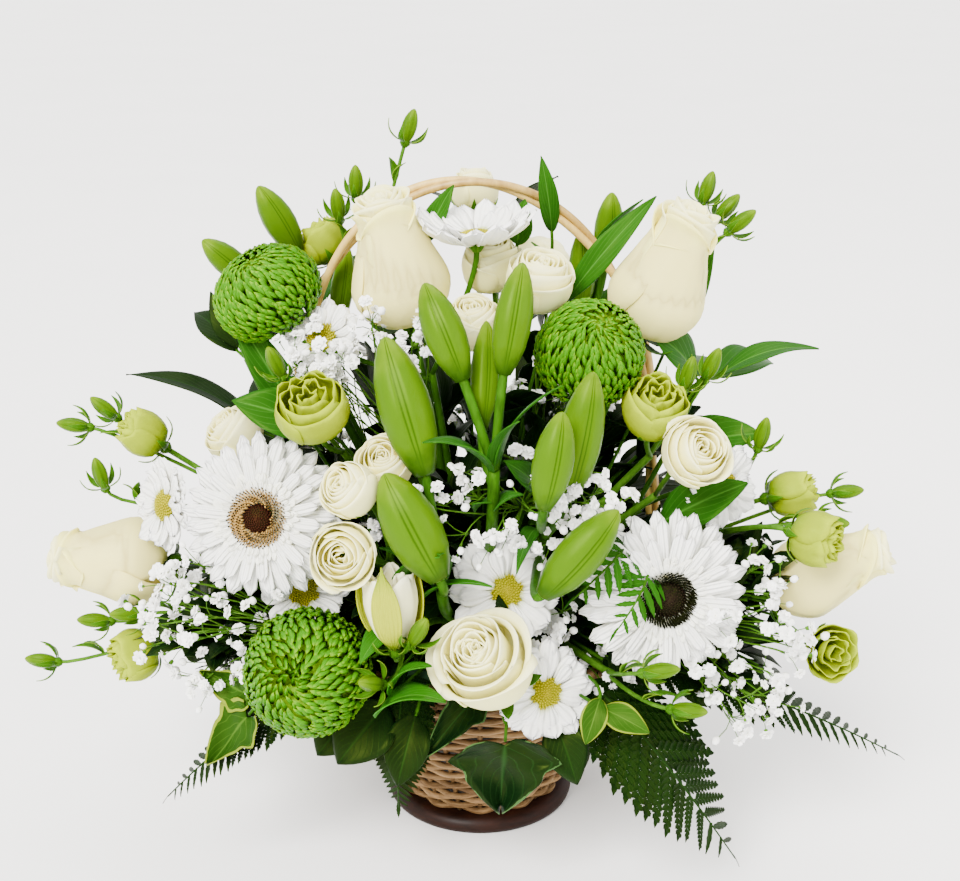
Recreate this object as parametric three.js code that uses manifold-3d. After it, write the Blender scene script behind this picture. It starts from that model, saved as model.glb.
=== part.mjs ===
// A round wicker basket with a twisted hoop handle, filled with white, cream and lime-green cut flowers.
// Millimetres, +Z up. The origin is the centre of the basket's foot on the table, and -Y is the front.
import * as THREE from 'three';
import Module from 'manifold-3d';

const wasm = await Module();
wasm.setup();
const { Manifold, Mesh: SolidMesh } = wasm;

// ---------- driving dimensions ----------
const gap = 0.3; // clearance between pieces that touch
const basket = {
  footRadius: 57, footHeight: 10, footBevel: 3,
  wallFootRadius: 48, rimRadius: 99, wallTop: 110, wallThickness: 5,
  stakes: 16, weaveRows: 7, weaveRelief: 1.7,
  rimThickness: 10, rimSteps: 27,
};
const handle = { halfWidth: 100, springHeight: 250, top: 381, lean: -7, legFoot: 84, thickness: 8.6,
  turns: 7 };
const liner = { thickness: 1.5, footRadius: 38, topRadius: 84, top: 104 };
const foam = { footRadius: 35, topRadius: 78, top: 112, holeDepth: 26, holeClearance: 0.35 };
const stems = { focusDepth: -60, spread: 0.3, most: 66 }; // every stem points back at one spot under the foot

const colours = {
  foot: 0x3a1a10, wicker: 0xb99b72, handle: 0xd8bd8e, liner: 0x1d2a1c, foam: 0x2f5a2c,
  whiteRose: 0xf3eedb, greenStem: 0x4d7a2c, gerbera: 0xfbfbf8, darkDisc: 0x3b1c16, brownDisc: 0x7b5a2a,
  limeMum: 0x6fbf1f, lilyBud: 0x9cc62f, lisianthus: 0xcddc2a, creamRose: 0xf4f0cf, daisy: 0xf7f7fa,
  alstroemeria: 0xeef0d8, babysBreath: 0xffffff, fern: 0x2a6a2c, ivy: 0x2f6b35, leaf: 0x3f8a33,
};

// ---------- small helpers ----------
const vec = (x, y, z) => new THREE.Vector3(x, y, z);
const point = (list) => new THREE.Vector3(...list);
const direction = (list) => new THREE.Vector3(...list).normalize();
const mix = THREE.MathUtils.lerp;
const golden = Math.PI * (3 - Math.sqrt(5));

// A seeded draw, so that every run places the small pieces alike.
function seeded(seed) {
  let state = seed;
  return () => {
    state = (state + 0x6d2b79f5) | 0;
    let t = Math.imul(state ^ (state >>> 15), 1 | state);
    t = (t + Math.imul(t ^ (t >>> 7), 61 | t)) ^ t;
    return ((t ^ (t >>> 14)) >>> 0) / 4294967296;
  };
}

// ---------- solids ----------
// A closed triangle list as a solid, turned to face outwards.
function solidOf(positions, triangles) {
  const sound = [];
  for (let i = 0; i < triangles.length; i += 3) {
    const [a, b, c] = [triangles[i], triangles[i + 1], triangles[i + 2]];
    if (a !== b && b !== c && a !== c) sound.push(a, b, c);
  }
  const build = (list) => new Manifold(new SolidMesh({
    numProp: 3, vertProperties: new Float32Array(positions), triVerts: new Uint32Array(list),
  }));
  const made = build(sound);
  if (made.volume() > 0) return made;
  for (let i = 0; i < sound.length; i += 3) [sound[i], sound[i + 1]] = [sound[i + 1], sound[i]];
  return build(sound);
}

function geometryFrom(solid) {
  const mesh = solid.getMesh();
  return new THREE.BufferGeometry()
    .setAttribute('position', new THREE.BufferAttribute(new Float32Array(mesh.vertProperties), 3))
    .setIndex(new THREE.BufferAttribute(new Uint32Array(mesh.triVerts), 1));
}

// A turned shape from [radius, height] pairs that start and end on the axis or close on themselves.
function turned(profile, sides, shift = null) {
  const positions = [], triangles = [];
  const first = profile[0], end = profile[profile.length - 1];
  const looped = first[0] === end[0] && first[1] === end[1];
  const outline = looped ? profile.slice(0, -1) : profile;
  const rings = outline.map(([r, z]) => {
    const count = r < 1e-6 ? 1 : sides;
    const start = positions.length / 3;
    for (let s = 0; s < count; s++) {
      const angle = (2 * Math.PI * s) / sides;
      const p = vec(r * Math.cos(angle), r * Math.sin(angle), z);
      positions.push(...(shift ? shift(p) : p).toArray());
    }
    return (s) => start + (count === 1 ? 0 : s % sides);
  });
  const pairs = looped ? outline.length : outline.length - 1;
  for (let i = 0; i < pairs; i++) {
    const [low, high] = [rings[i], rings[(i + 1) % rings.length]];
    for (let s = 0; s < sides; s++) {
      triangles.push(low(s), low(s + 1), high(s + 1), low(s), high(s + 1), high(s));
    }
  }
  return solidOf(positions, triangles);
}

// A rod along a list of points. radius may be a number or a function of (share of length, angle).
function rod(points, radius, sides = 5, twist = 0) {
  const positions = [], triangles = [];
  const last = points.length - 1;
  let normal = null;
  points.forEach((p, i) => {
    const along = points[Math.min(i + 1, last)].clone().sub(points[Math.max(i - 1, 0)]).normalize();
    if (!normal) normal = Math.abs(along.x) < 0.9 ? vec(1, 0, 0) : vec(0, 1, 0);
    normal = normal.clone().sub(along.clone().multiplyScalar(normal.dot(along))).normalize();
    const side = along.clone().cross(normal);
    for (let s = 0; s < sides; s++) {
      const angle = (2 * Math.PI * s) / sides;
      const r = typeof radius === 'number' ? radius : radius(i / last, angle);
      const turn = angle + twist * (i / last);
      const q = p.clone().addScaledVector(normal, r * Math.cos(turn)).addScaledVector(side,
        r * Math.sin(turn));
      positions.push(q.x, q.y, q.z);
    }
  });
  for (let i = 0; i < last; i++) {
    for (let s = 0; s < sides; s++) {
      const [a, b] = [i * sides + s, i * sides + ((s + 1) % sides)];
      triangles.push(a, b, b + sides, a, b + sides, a + sides);
    }
  }
  for (let s = 1; s < sides - 1; s++) {
    triangles.push(0, s + 1, s, last * sides, last * sides + s, last * sides + s + 1);
  }
  return solidOf(positions, triangles);
}

// A petal or leaf: thick in the middle, sharp at its edges, from one root point to one tip point.
// at(s, t) is its middle surface, with s from -1 to 1 across and t from 0 to 1 along.
function blade(at, stations, across = 3, thickness = 1) {
  const positions = [], triangles = [];
  const add = (p) => positions.push(p.x, p.y, p.z) / 3 - 1;
  const step = 0.01;
  const normalAt = (s, t) => {
    const wide = at(s + step, t).sub(at(s - step, t));
    const long = at(s, Math.min(t + step, 1)).sub(at(s, t - step));
    return wide.cross(long).normalize().multiplyScalar(thickness / 2);
  };
  const root = add(at(0, 0)), tip = add(at(0, 1));
  const rows = stations.map((t) => Array.from({ length: across }, (_, c) => {
    const s = (2 * c) / (across - 1) - 1;
    const p = at(s, t);
    if (c === 0 || c === across - 1) {
      const edge = add(p);
      return [edge, edge];
    }
    const n = normalAt(s, t);
    return [add(p.clone().add(n)), add(p.clone().sub(n))];
  }));
  for (const side of [0, 1]) {
    const face = (a, b, c) => (side ? triangles.push(a, c, b) : triangles.push(a, b, c));
    const end = rows[rows.length - 1];
    for (let c = 0; c < across - 1; c++) {
      face(root, rows[0][c + 1][side], rows[0][c][side]);
      face(tip, end[c][side], end[c + 1][side]);
      for (let k = 0; k < rows.length - 1; k++) {
        const [a, b] = [rows[k][c][side], rows[k][c + 1][side]];
        const [d, e] = [rows[k + 1][c + 1][side], rows[k + 1][c][side]];
        if (c < (across - 1) / 2) {
          face(a, b, e);
          face(b, d, e);
        } else {
          face(a, b, d);
          face(a, d, e);
        }
      }
    }
  }
  return solidOf(positions, triangles);
}

// A closed surface drawn face by face. grow() draws a petal, leaflet or stalk out of one of its faces:
// corners and rings run anticlockwise as seen from the tip. Where the root is a square and the first ring
// a diamond, each side of the root faces a point of the ring.
function surface() {
  const positions = [], triangles = [];
  const add = (p) => positions.push(p.x, p.y, p.z) / 3 - 1;
  const ring = (points) => points.map(add);
  const band = (low, high) => low.forEach((a, i) => {
    const j = (i + 1) % low.length;
    triangles.push(a, low[j], high[j], a, high[j], high[i]);
  });
  const facing = (low, high) => low.forEach((a, i) => {
    const j = (i + 1) % low.length;
    triangles.push(a, low[j], high[i], low[j], high[j], high[i]);
  });
  // both faces of a thin diamond split the same way
  const alike = (low, high) => low.forEach((a, i) => {
    const j = (i + 1) % low.length;
    if (i < low.length / 2) triangles.push(a, low[j], high[j], a, high[j], high[i]);
    else triangles.push(a, low[j], high[i], low[j], high[j], high[i]);
  });
  const fan = (edge, tip) => edge.forEach((a, i) => triangles.push(a, edge[(i + 1) % edge.length], tip));
  const grow = (corners, rings, tip, { squareRoot = false } = {}) => {
    let edge = corners;
    rings.forEach((points, i) => {
      const next = ring(points);
      if (i) alike(edge, next);
      else if (squareRoot) facing(edge, next);
      else band(edge, next);
      edge = next;
    });
    fan(edge, add(tip));
  };
  const face = (a, b, c) => triangles.push(a, b, c);
  const at = (i) => vec(positions[3 * i], positions[3 * i + 1], positions[3 * i + 2]);
  return { add, ring, band, fan, face, grow, at, solid: () => solidOf(positions, triangles) };
}

// The same outgrowth as a solid of its own, to try it for room.
function outgrowth(corners, rings, tip, options) {
  const trial = surface();
  const root = trial.ring(corners);
  trial.grow(root, rings, tip, options);
  trial.fan([...root].reverse(), trial.add(corners.reduce((sum, p) => sum.add(p), vec(0, 0, 0))
    .multiplyScalar(1 / corners.length)));
  return trial.solid();
}

// The outline of a petal across its length: a flat diamond.
const diamond = (centre, side, lift, half, thickness) => [
  centre.clone().addScaledVector(side, half), centre.clone().addScaledVector(lift, thickness / 2),
  centre.clone().addScaledVector(side, -half), centre.clone().addScaledVector(lift, -thickness / 2)];

// Turns and moves a solid whose own axis is +Z so that it stands at a place and faces a way.
function placing(at, face, spin = 0) {
  const turn = new THREE.Quaternion().setFromUnitVectors(vec(0, 0, 1), face);
  turn.multiply(new THREE.Quaternion().setFromAxisAngle(vec(0, 0, 1), spin));
  return new THREE.Matrix4().compose(at, turn, vec(1, 1, 1));
}
const placed = (solid, at, face, spin = 0) => solid.transform(placing(at, face, spin).elements);

// ---------- nodes, and keeping them clear of each other ----------
const group = new THREE.Group();
const nodes = new Map(); // each node's pieces and look, by name
const taken = []; // every piece that stands so far, with its node's name

function node(name, colour, roughness = 0.7) {
  nodes.set(name, { colour, roughness, pieces: [] });
}

function put(name, solid) {
  nodes.get(name).pieces.push(solid);
  taken.push({ name, solid, box: solid.boundingBox() });
}

function near(a, b) {
  return [0, 1, 2].every((i) => a.min[i] < b.max[i] && b.min[i] < a.max[i]);
}

function crosses(piece, name) {
  const box = piece.boundingBox();
  return taken.some((other) => other.name !== name && near(box, other.box)
    && piece.intersect(other.solid).volume() > 1e-4);
}

// The first of several ways to make a piece that crosses nothing. make(n) may return null.
function firstClear(name, ways, make) {
  for (let n = 0; n < ways; n++) {
    const piece = make(n);
    if (piece && !crosses(piece, name)) return piece;
  }
  return null;
}

// Puts a head at its place, or as near to it as there is room.
const steps = [[0, 0, 0]];
for (const reach of [2, 4, 6, 9, 12]) {
  for (const way of [[0, -1, 0], [0, 0, 1], [1, 0, 0], [-1, 0, 0], [0, -0.7, 0.7], [0.7, -0.7, 0],
    [-0.7, -0.7, 0],
    [0, 0, -1], [0, 1, 0]]) steps.push(way.map((share) => share * reach));
}
function settle(name, solid) {
  const step = steps.find((way) => !crosses(solid.translate(way), name)) ?? steps[0];
  put(name, solid.translate(step));
  return point(step);
}

// Joins a node's pieces into one body, closing what they shut in and dropping what hangs loose.
function finish(name) {
  const { pieces, colour, roughness } = nodes.get(name);
  const whole = Manifold.union(pieces).decompose().filter((body) => body.volume() > 0);
  const solid = whole.sort((a, b) => b.volume() - a.volume())[0].simplify(0.02);
  const material = new THREE.MeshStandardMaterial({ color: colour, roughness, metalness: 0 });
  const mesh = new THREE.Mesh(geometryFrom(solid), material);
  mesh.name = name;
  group.add(mesh);
}

// ---------- basket ----------
const wallRadius = (z) => mix(basket.wallFootRadius, basket.rimRadius,
  (z - basket.footHeight) / (basket.wallTop - basket.footHeight));

function basketFoot() {
  const { footRadius: r, footHeight: h, footBevel: b } = basket;
  return turned([[0, 0], [r, 0], [r, h - b], [r - b, h], [0, h]], 20);
}

// The woven wall: stakes push the rods out and in by turns, one row against the next.
function basketWall() {
  const { weaveRows, stakes, weaveRelief, wallThickness, wallTop } = basket;
  const foot = basket.footHeight + gap;
  const outside = Array.from({ length: weaveRows + 1 }, (_, i) => {
    const z = mix(foot, wallTop, i / weaveRows);
    return [wallRadius(z), z];
  });
  const inside = [[wallRadius(wallTop) - wallThickness, wallTop], [wallRadius(foot) - wallThickness, foot]];
  return turned([...outside, ...inside, outside[0]], stakes * 2, (p) => {
    const radius = Math.hypot(p.x, p.y);
    if (radius < wallRadius(p.z) - 1) return p;
    const row = Math.round(((p.z - foot) / (wallTop - foot)) * weaveRows);
    const wave = Math.cos((Math.atan2(p.y, p.x) * stakes) + Math.PI * row) * weaveRelief;
    return vec(p.x * (1 + wave / radius), p.y * (1 + wave / radius), p.z);
  });
}

// The plaited border on top of the wall.
function basketRim() {
  const { rimRadius, rimThickness, rimSteps, wallTop, wallThickness } = basket;
  const centreRadius = rimRadius - wallThickness / 2, height = wallTop + gap + rimThickness / 2;
  const section = Array.from({ length: 6 }, (_, i) => {
    const angle = (Math.PI * (2 * i + 1)) / 6;
    return [centreRadius + (rimThickness / 2) * Math.cos(angle),
      height + (rimThickness / 2) * Math.sin(angle)];
  });
  const lowest = Math.min(...section.map(([, z]) => z));
  return turned([...section, section[0]], rimSteps, (p) => {
    const strand = 0.9 * Math.cos(Math.atan2(p.y, p.x) * (rimSteps / 3));
    return p.z < lowest + 0.1 ? p : vec(p.x, p.y, p.z + strand * 0.5 - 0.45);
  });
}

// The hoop: two rods wound round each other, up one side of the basket, over and down.
function hoopPoints() {
  const { halfWidth, springHeight, top, lean, legFoot, thickness } = handle;
  const outside = basket.rimRadius - basket.wallThickness / 2 + basket.rimThickness / 2 + thickness / 2 + gap;
  const hug = wallRadius(legFoot) + basket.weaveRelief + thickness / 2 + gap;
  const leg = [[hug, legFoot], [outside, basket.wallTop + 3], [mix(outside, halfWidth, 0.6), 180]];
  const arch = Array.from({ length: 15 }, (_, i) => {
    const angle = (Math.PI * i) / 14;
    return [halfWidth * Math.cos(angle), springHeight + (top - springHeight) * Math.sin(angle)];
  });
  const line = [...leg, ...arch, ...[...leg].reverse().map(([x, z]) => [-x, z])];
  return line.map(([x, z]) => vec(x + lean * Math.max(0, (z - 180) / (top - 180)), 0, z));
}

function basketHandle() {
  const curve = new THREE.CatmullRomCurve3(hoopPoints());
  const { thickness, turns } = handle;
  const strands = (share, angle) => (thickness / 2) * (0.84 + 0.16 * Math.cos(2 * angle));
  return rod(curve.getSpacedPoints(27), strands, 6, turns * Math.PI);
}

function basketLiner() {
  const { thickness: t, footRadius, topRadius, top } = liner;
  const foot = basket.footHeight + gap;
  return turned([[0, foot], [footRadius, foot], [topRadius, top], [topRadius - t, top],
    [footRadius - t, foot + t], [0, foot + t]], 12);
}

// ---------- stems ----------
const feet = []; // the stretch of each stem that stands in the foam
const focus = vec(0, 0, stems.focusDepth);

// Where a stem leaves the foam: near the point asked for, clear of the stems that stand already.
function* mouths(x, y, radius) {
  for (const reach of [0, 3, 6, 9, 12, 16, 20, 25]) {
    for (let i = 0; i < (reach ? 8 : 1); i++) {
      const mouth = vec(x + reach * Math.cos(i * 0.785), y + reach * Math.sin(i * 0.785), foam.top + 2.5);
      const free = feet.every((foot) => foot.line[1].distanceTo(mouth) > foot.radius + radius + 1.6);
      if (free && Math.hypot(mouth.x, mouth.y) < stems.most) yield mouth;
    }
  }
}
const footOf = (mouth) => mouth.clone().addScaledVector(focus.clone().sub(mouth).normalize(), foam.holeDepth);

// A limb swept along points with a radius for each. It ends flat, or in a point if a tip is given.
function limb(points, radii, sides, tip = null) {
  const shape = surface();
  const last = points.length - 1;
  let normal = null, edge = null;
  points.forEach((p, i) => {
    const next = i < last ? points[i + 1] : tip ?? p;
    const along = next.clone().sub(points[Math.max(i - 1, 0)]).normalize();
    normal = normal ?? (Math.abs(along.x) < 0.9 ? vec(1, 0, 0) : vec(0, 1, 0));
    normal = normal.clone().addScaledVector(along, -normal.dot(along)).normalize();
    const side = along.clone().cross(normal);
    const ring = shape.ring(Array.from({ length: sides }, (_, s) => p.clone()
      .addScaledVector(normal, radii[i] * Math.cos((2 * Math.PI * s) / sides))
      .addScaledVector(side, radii[i] * Math.sin((2 * Math.PI * s) / sides))));
    if (edge) shape.band(edge, ring);
    else for (let s = 1; s < sides - 1; s++) shape.face(ring[0], ring[s + 1], ring[s]);
    edge = ring;
  });
  if (tip) shape.fan(edge, shape.add(tip));
  else for (let s = 1; s < sides - 1; s++) shape.face(edge[0], edge[s], edge[s + 1]);
  return shape.solid();
}

// Ways for a side branch to bow on its way from a fork to the back of a small bloom.
const bows = [[0, 0, 0], [0, -10, 0], [0, 10, 0], [10, 0, 0], [-10, 0, 0], [0, 0, -12], [0, -18, -6],
  [14, -10, 0],
  [-14, -10, 0], [0, 18, 0], [18, 8, 0], [-18, 8, 0]];
function bowed(fork, { base, face }, n) {
  const span = fork.distanceTo(base);
  const knee = base.clone().addScaledVector(face, -0.45 * span).add(point(bows[n]).multiplyScalar(span / 50));
  const end = base.clone().addScaledVector(face, 1.6);
  return [new THREE.QuadraticBezierCurve3(fork, knee, base).getPoint(0.5), end];
}

// The rest of a limb's points and radii past its fork: up to a bloom's back, or on into a pointed bud.
function reachOf(fork, end, n, radius) {
  const [middle, last] = bowed(fork, end, n);
  if (!end.bud) return { points: [middle, last], radii: [radius, radius], tip: null };
  const { length, girth } = end.bud;
  const belly = end.base.clone().addScaledVector(end.face, length * 0.42);
  return { points: [middle, end.base, belly], radii: [radius, radius, girth],
    tip: end.base.clone().addScaledVector(end.face, length) };
}

// A stem from a hole in the foam, arriving along an axis at a bloom's back, or at a fork and on to its
// leading bloom.
function standingStem(name, base, face, radius,
  { entry = null, sides = 4, samples = 3, leader = null } = {}) {
  const reach = Math.hypot(base.x, base.y) * stems.spread;
  const share = stems.spread * Math.min(1, (stems.most - 4) / Math.max(reach, 1));
  const [x, y] = entry ?? [base.x * share, base.y * share];
  for (const strength of [0.36, 0.5, 0.24, 0.62]) {
    for (const mouth of mouths(x, y, radius)) {
      const foot = footOf(mouth), back = foot.clone().sub(mouth).normalize();
      const span = mouth.distanceTo(base);
      const curve = new THREE.CubicBezierCurve3(mouth, mouth.clone().addScaledVector(back, -strength * span),
        base.clone().addScaledVector(face, -0.32 * span), base);
      const points = [foot, ...curve.getPoints(samples)];
      const radii = points.map(() => radius);
      if (leader && crosses(limb(points, radii, sides), name)) continue;
      const stem = firstClear(name, leader ? bows.length : 1, (n) => {
        if (!leader) return limb(points, radii, sides);
        const rest = reachOf(base, leader, n, Math.min(radius, leader.bud ? 1.3 : 1.8));
        return limb([...points, ...rest.points], [...radii, ...rest.radii], sides, rest.tip);
      });
      if (!stem) continue;
      feet.push({ line: [foot, mouth], radius, sides });
      put(name, stem);
      return;
    }
  }
}

// A side branch from a fork to a bloom's back or into a bud.
function branch(name, fork, end, radius, sides = 3) {
  const made = firstClear(name, bows.length, (n) => {
    const { points, radii, tip } = reachOf(fork, end, n, radius);
    return limb([fork, ...points], [radius, ...radii], end.bud ? 4 : sides, tip);
  });
  if (made) put(name, made);
}

// A whole spray: a stem to the fork and its leading bloom, and branches from just below the fork to the
// others.
function sprayStem(name, top, heading, radius, ends, options = {}) {
  standingStem(name, top, heading, radius, { ...options, leader: ends[0] });
  ends.slice(1).forEach((end, i) => branch(name, top.clone().addScaledVector(heading, -5 * i), end,
    end.bud ? 1.2 : 1.6));
}

function foamBlock() {
  const { footRadius, topRadius, top } = foam;
  const foot = basket.footHeight + gap + liner.thickness + gap;
  const block = turned([[0, foot], [footRadius, foot], [topRadius, top - 6], [topRadius - 4, top],
    [0, top]], 16);
  const holes = feet.map(({ line: [end, mouth], radius, sides }) => {
    const along = mouth.clone().sub(end).normalize();
    const ends = [end.clone().addScaledVector(along, -gap), mouth.clone().addScaledVector(along, 8)];
    return rod(ends, radius + foam.holeClearance / Math.cos(Math.PI / sides), sides);
  });
  return block.subtract(Manifold.union(holes));
}

// ---------- leaves ----------
// A lance-shaped leaf from a point on a stem to its tip, arched up or down between them.
function lanceLeaf(root, tip, width, { arch = 0.1, fold = 0.15, up = vec(0, 0, 1),
  stations = [0.25, 0.65] } = {}) {
  const along = tip.clone().sub(root);
  const length = along.length();
  const side = along.clone().cross(up).normalize();
  const lift = side.clone().cross(along).normalize();
  return blade((s, t) => {
    const half = (width / 2) * Math.sin(Math.PI * Math.min(t, 1) ** 0.8) ** 0.8;
    const bend = arch * length * Math.sin(Math.PI * t) + fold * Math.abs(s) * half;
    return root.clone().addScaledVector(along, t).addScaledVector(side, s * half).addScaledVector(lift, bend);
  }, stations, 3, 1.1);
}

// A leaf on a node, shortened and swung aside until it crosses nothing.
const swings = [[0, 0, 0], [0, -12, 6], [0, 8, 12], [12, -6, 0], [-12, -6, 0], [0, -20, -8], [0, 0, 18],
  [16, 6, 8],
  [-16, 6, 8], [0, -8, -18]];
function leafOn(name, root, tip, width, shape) {
  const made = firstClear(name, swings.length * 3, (n) => {
    const scale = 1 - 0.16 * Math.floor(n / swings.length);
    const end = root.clone().lerp(tip.clone().add(point(swings[n % swings.length])), scale);
    return shape(root, end, width * scale);
  });
  if (made) put(name, made);
}

// ---------- cupped blooms ----------
// A bloom about +Z: whorls of petals, the outermost lowest, drawn out of a narrow core that ends in a
// closed heart. Radii are shares of the bloom's radius and heights of its length. A petal's stations are
// [radius, height, half-angle]. Each petal's one edge lies inside its neighbour and the other outside, and
// a whorl whose petals are wider than their sector starts on a band of the core of its own.
function whorledBloom({ radius, length, sectors, core, rows, heart, crown, thickness = 1.5, lap = 0.06 }) {
  const shape = surface();
  const spot = (angle, r, z) => vec(r * radius * Math.cos(angle), r * radius * Math.sin(angle), z * length);
  const circle = ([r, z]) => shape.ring(Array.from({ length: sectors },
    (_, k) => spot((2 * Math.PI * (k - 0.5)) / sectors, r, z)));
  const levels = core.map(circle);
  shape.fan([...levels[0]].reverse(), shape.add(vec(0, 0, core[0][1] * length)));
  // a petal's section: its two edges, one pushed in and one out, and its middle's two faces
  const across = (angle, line, i) => {
    const [r, z, half] = line[i];
    const run = (line[i + 1][0] - line[i - 1][0]) * radius, rise = (line[i + 1][1] - line[i - 1][1]) * length;
    const size = Math.hypot(run, rise);
    const at = (turn, inward) => {
      const out = r * radius - (inward * rise) / size;
      return vec(out * Math.cos(angle + turn), out * Math.sin(angle + turn),
        z * length + (inward * run) / size);
    };
    return [at(half, lap * radius), at(0, thickness / 2), at(-half, -lap * radius), at(0, -thickness / 2)];
  };
  rows.forEach((kinds, row) => {
    const low = levels[row], high = levels[row + 1];
    for (let k = 0; k < sectors; k++) {
      const petal = kinds[k % kinds.length], next = (k + 1) % sectors;
      if (!petal) {
        shape.face(low[k], low[next], high[next]);
        shape.face(low[k], high[next], high[k]);
        continue;
      }
      const angle = (2 * Math.PI * k) / sectors;
      const root = [0, 1].map((i) => (core[row][i] + core[row + 1][i]) / 2);
      const line = [root, ...petal.stations, petal.tip];
      const sections = petal.stations.map((_, i) => across(angle, line, i + 1));
      shape.grow([low[next], high[next], high[k], low[k]], sections, spot(angle, ...petal.tip),
        { squareRoot: true });
    }
  });
  const upper = heart.map(circle);
  [levels[levels.length - 1], ...upper.slice(0, -1)].forEach((low, i) => shape.band(low, upper[i]));
  shape.fan(upper[upper.length - 1], shape.add(vec(0, 0, crown * length)));
  return shape.solid();
}

// ---------- large roses ----------
const tallRose = { sectors: 6, core: [[0.3, 0], [0.35, 0.05], [0.39, 0.1], [0.41, 0.15]], rows: [
  [{ stations: [[0.98, 0.26, 0.98], [0.92, 0.6, 1.04], [0.88, 0.9, 0.85]], tip: [0.98, 0.95] }, null],
  [null, { stations: [[0.82, 0.32, 0.96], [0.75, 0.68, 1.04], [0.68, 0.95, 0.8]], tip: [0.7, 0.99] }],
  [{ stations: [[0.66, 0.4, 0.9], [0.57, 0.74, 1.0], [0.48, 0.97, 0.7]], tip: [0.42, 1] }, null]],
heart: [[0.48, 0.42], [0.34, 0.84]], crown: 0.93 };
const openRose = { sectors: 10, core: [[0.24, 0], [0.28, 0.08], [0.28, 0.16], [0.26, 0.24]], rows: [
  [{ stations: [[0.76, 0.12, 0.58], [1.1, 0.4, 0.72]], tip: [1.2, 0.5] }, null],
  [null, { stations: [[0.6, 0.28, 0.58], [0.86, 0.62, 0.72]], tip: [0.92, 0.74] }],
  [{ stations: [[0.44, 0.42, 0.58], [0.58, 0.76, 0.72]], tip: [0.54, 0.9] }, null]],
heart: [[0.3, 0.6]], crown: 0.84 };

// Hip and turned-back sepals under a rose, about +Z with the hip's top a gap below the origin.
function roseHip(radius, sepalLength = 22) {
  const sides = 4;
  const shape = surface();
  const circle = (r, z) => shape.ring(Array.from({ length: sides }, (_, s) => vec(
    r * Math.cos((2 * Math.PI * (s - 0.5)) / sides), r * Math.sin((2 * Math.PI * (s - 0.5)) / sides), z)));
  const low = circle(radius * 0.5, -radius * 1.5), belly = circle(radius, -radius * 0.8),
    rim = circle(radius * 0.8, -gap);
  shape.fan([...low].reverse(), shape.add(vec(0, 0, -radius * 1.5)));
  shape.band(low, belly);
  for (let s = 0; s < sides; s++) {
    const angle = (2 * Math.PI * s) / sides;
    const out = vec(Math.cos(angle), Math.sin(angle), 0);
    const tip = out.clone().multiplyScalar(radius + sepalLength
      * 0.72).setZ(-radius * 0.6 - sepalLength * 0.55);
    const next = (s + 1) % sides;
    shape.grow([belly[next], rim[next], rim[s], belly[s]], [], tip);
  }
  shape.fan(rim, shape.add(vec(0, 0, -gap)));
  return shape.solid();
}

const largeRoses = [
  { name: 'rose_top_left', at: [-45, -40, 347], face: [-0.2, -0.06, 0.97], radius: 27, length: 74,
    spin: 0.4 },
  { name: 'rose_top_right', at: [100, -38, 340], face: [0.36, -0.06, 0.93], radius: 27, length: 76,
    spin: 1.1 },
  { name: 'rose_left', at: [-215, -35, 172], face: [-0.99, -0.1, 0.08], radius: 24, length: 68, spin: 2.0 },
  { name: 'rose_right', at: [195, -58, 175], face: [0.9, -0.08, 0.42], radius: 24, length: 70, spin: 0.2 },
  { name: 'rose_front', at: [3, -142, 160], face: [-0.03, -0.86, 0.5], radius: 29, length: 40, spin: 0,
    isOpen: true },
];

function placeLargeRoses() {
  return largeRoses.map(({ name, at, face, radius, length, spin, isOpen }) => {
    const axis = direction(face);
    const base = point(at).addScaledVector(axis, -length * (isOpen ? 0.5 : 0.48));
    node(name + '_petals', colours.whiteRose);
    node(name + '_stem', colours.greenStem);
    const bloom = whorledBloom({ radius, length, ...(isOpen ? openRose : tallRose) });
    put(name + '_petals', placed(bloom, base, axis, spin));
    put(name + '_stem', placed(roseHip(6.5), base, axis, spin));
    return () => standingStem(name + '_stem', base.clone().addScaledVector(axis, -8), axis, 2.6);
  });
}

// ---------- flat, rayed flowers ----------
// A low disc about +Z whose rim is drawn out into rows of petals. levels are [radius, height] rings from
// the back.
function rayedFlower({ count, levels, rows, crown, back }) {
  const shape = surface();
  const rings = levels.map(([r, z]) => shape.ring(Array.from({ length: count }, (_, k) => vec(
    r * Math.cos((2 * Math.PI * (k - 0.5)) / count), r * Math.sin((2 * Math.PI * (k - 0.5)) / count), z))));
  shape.fan([...rings[0]].reverse(), shape.add(vec(0, 0, back)));
  rings.slice(0, -1).forEach((low, row) => {
    const high = rings[row + 1], petal = rows[row];
    if (!petal) {
      shape.band(low, high);
      return;
    }
    const [startRadius, startHeight] = [0, 1].map((i) => (levels[row][i] + levels[row + 1][i]) / 2);
    for (let k = 0; k < count; k++) {
      const angle = (2 * Math.PI * (k + (petal.shift ?? 0))) / count;
      const out = vec(Math.cos(angle), Math.sin(angle), 0), side = vec(-Math.sin(angle), Math.cos(angle), 0);
      const slope = petal.slope + (k % 2 ? petal.stagger ?? 0 : 0);
      const lift = vec(0, 0, 1).addScaledVector(out, -slope).normalize();
      const reach = petal.reach - startRadius;
      const along = (t) => out.clone().multiplyScalar(startRadius + reach * t)
        .setZ(startHeight + reach * (slope * t - (petal.droop ?? 0) * t * t));
      const next = (k + 1) % count;
      const sections = petal.stations.map(([t, width]) => diamond(along(t), side, lift, width / 2, 1.2));
      shape.grow([low[next], high[next], high[k], low[k]], sections, along(1), { squareRoot: true });
    }
  });
  shape.fan(rings[rings.length - 1], shape.add(vec(0, 0, crown)));
  return shape.solid();
}

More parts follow.
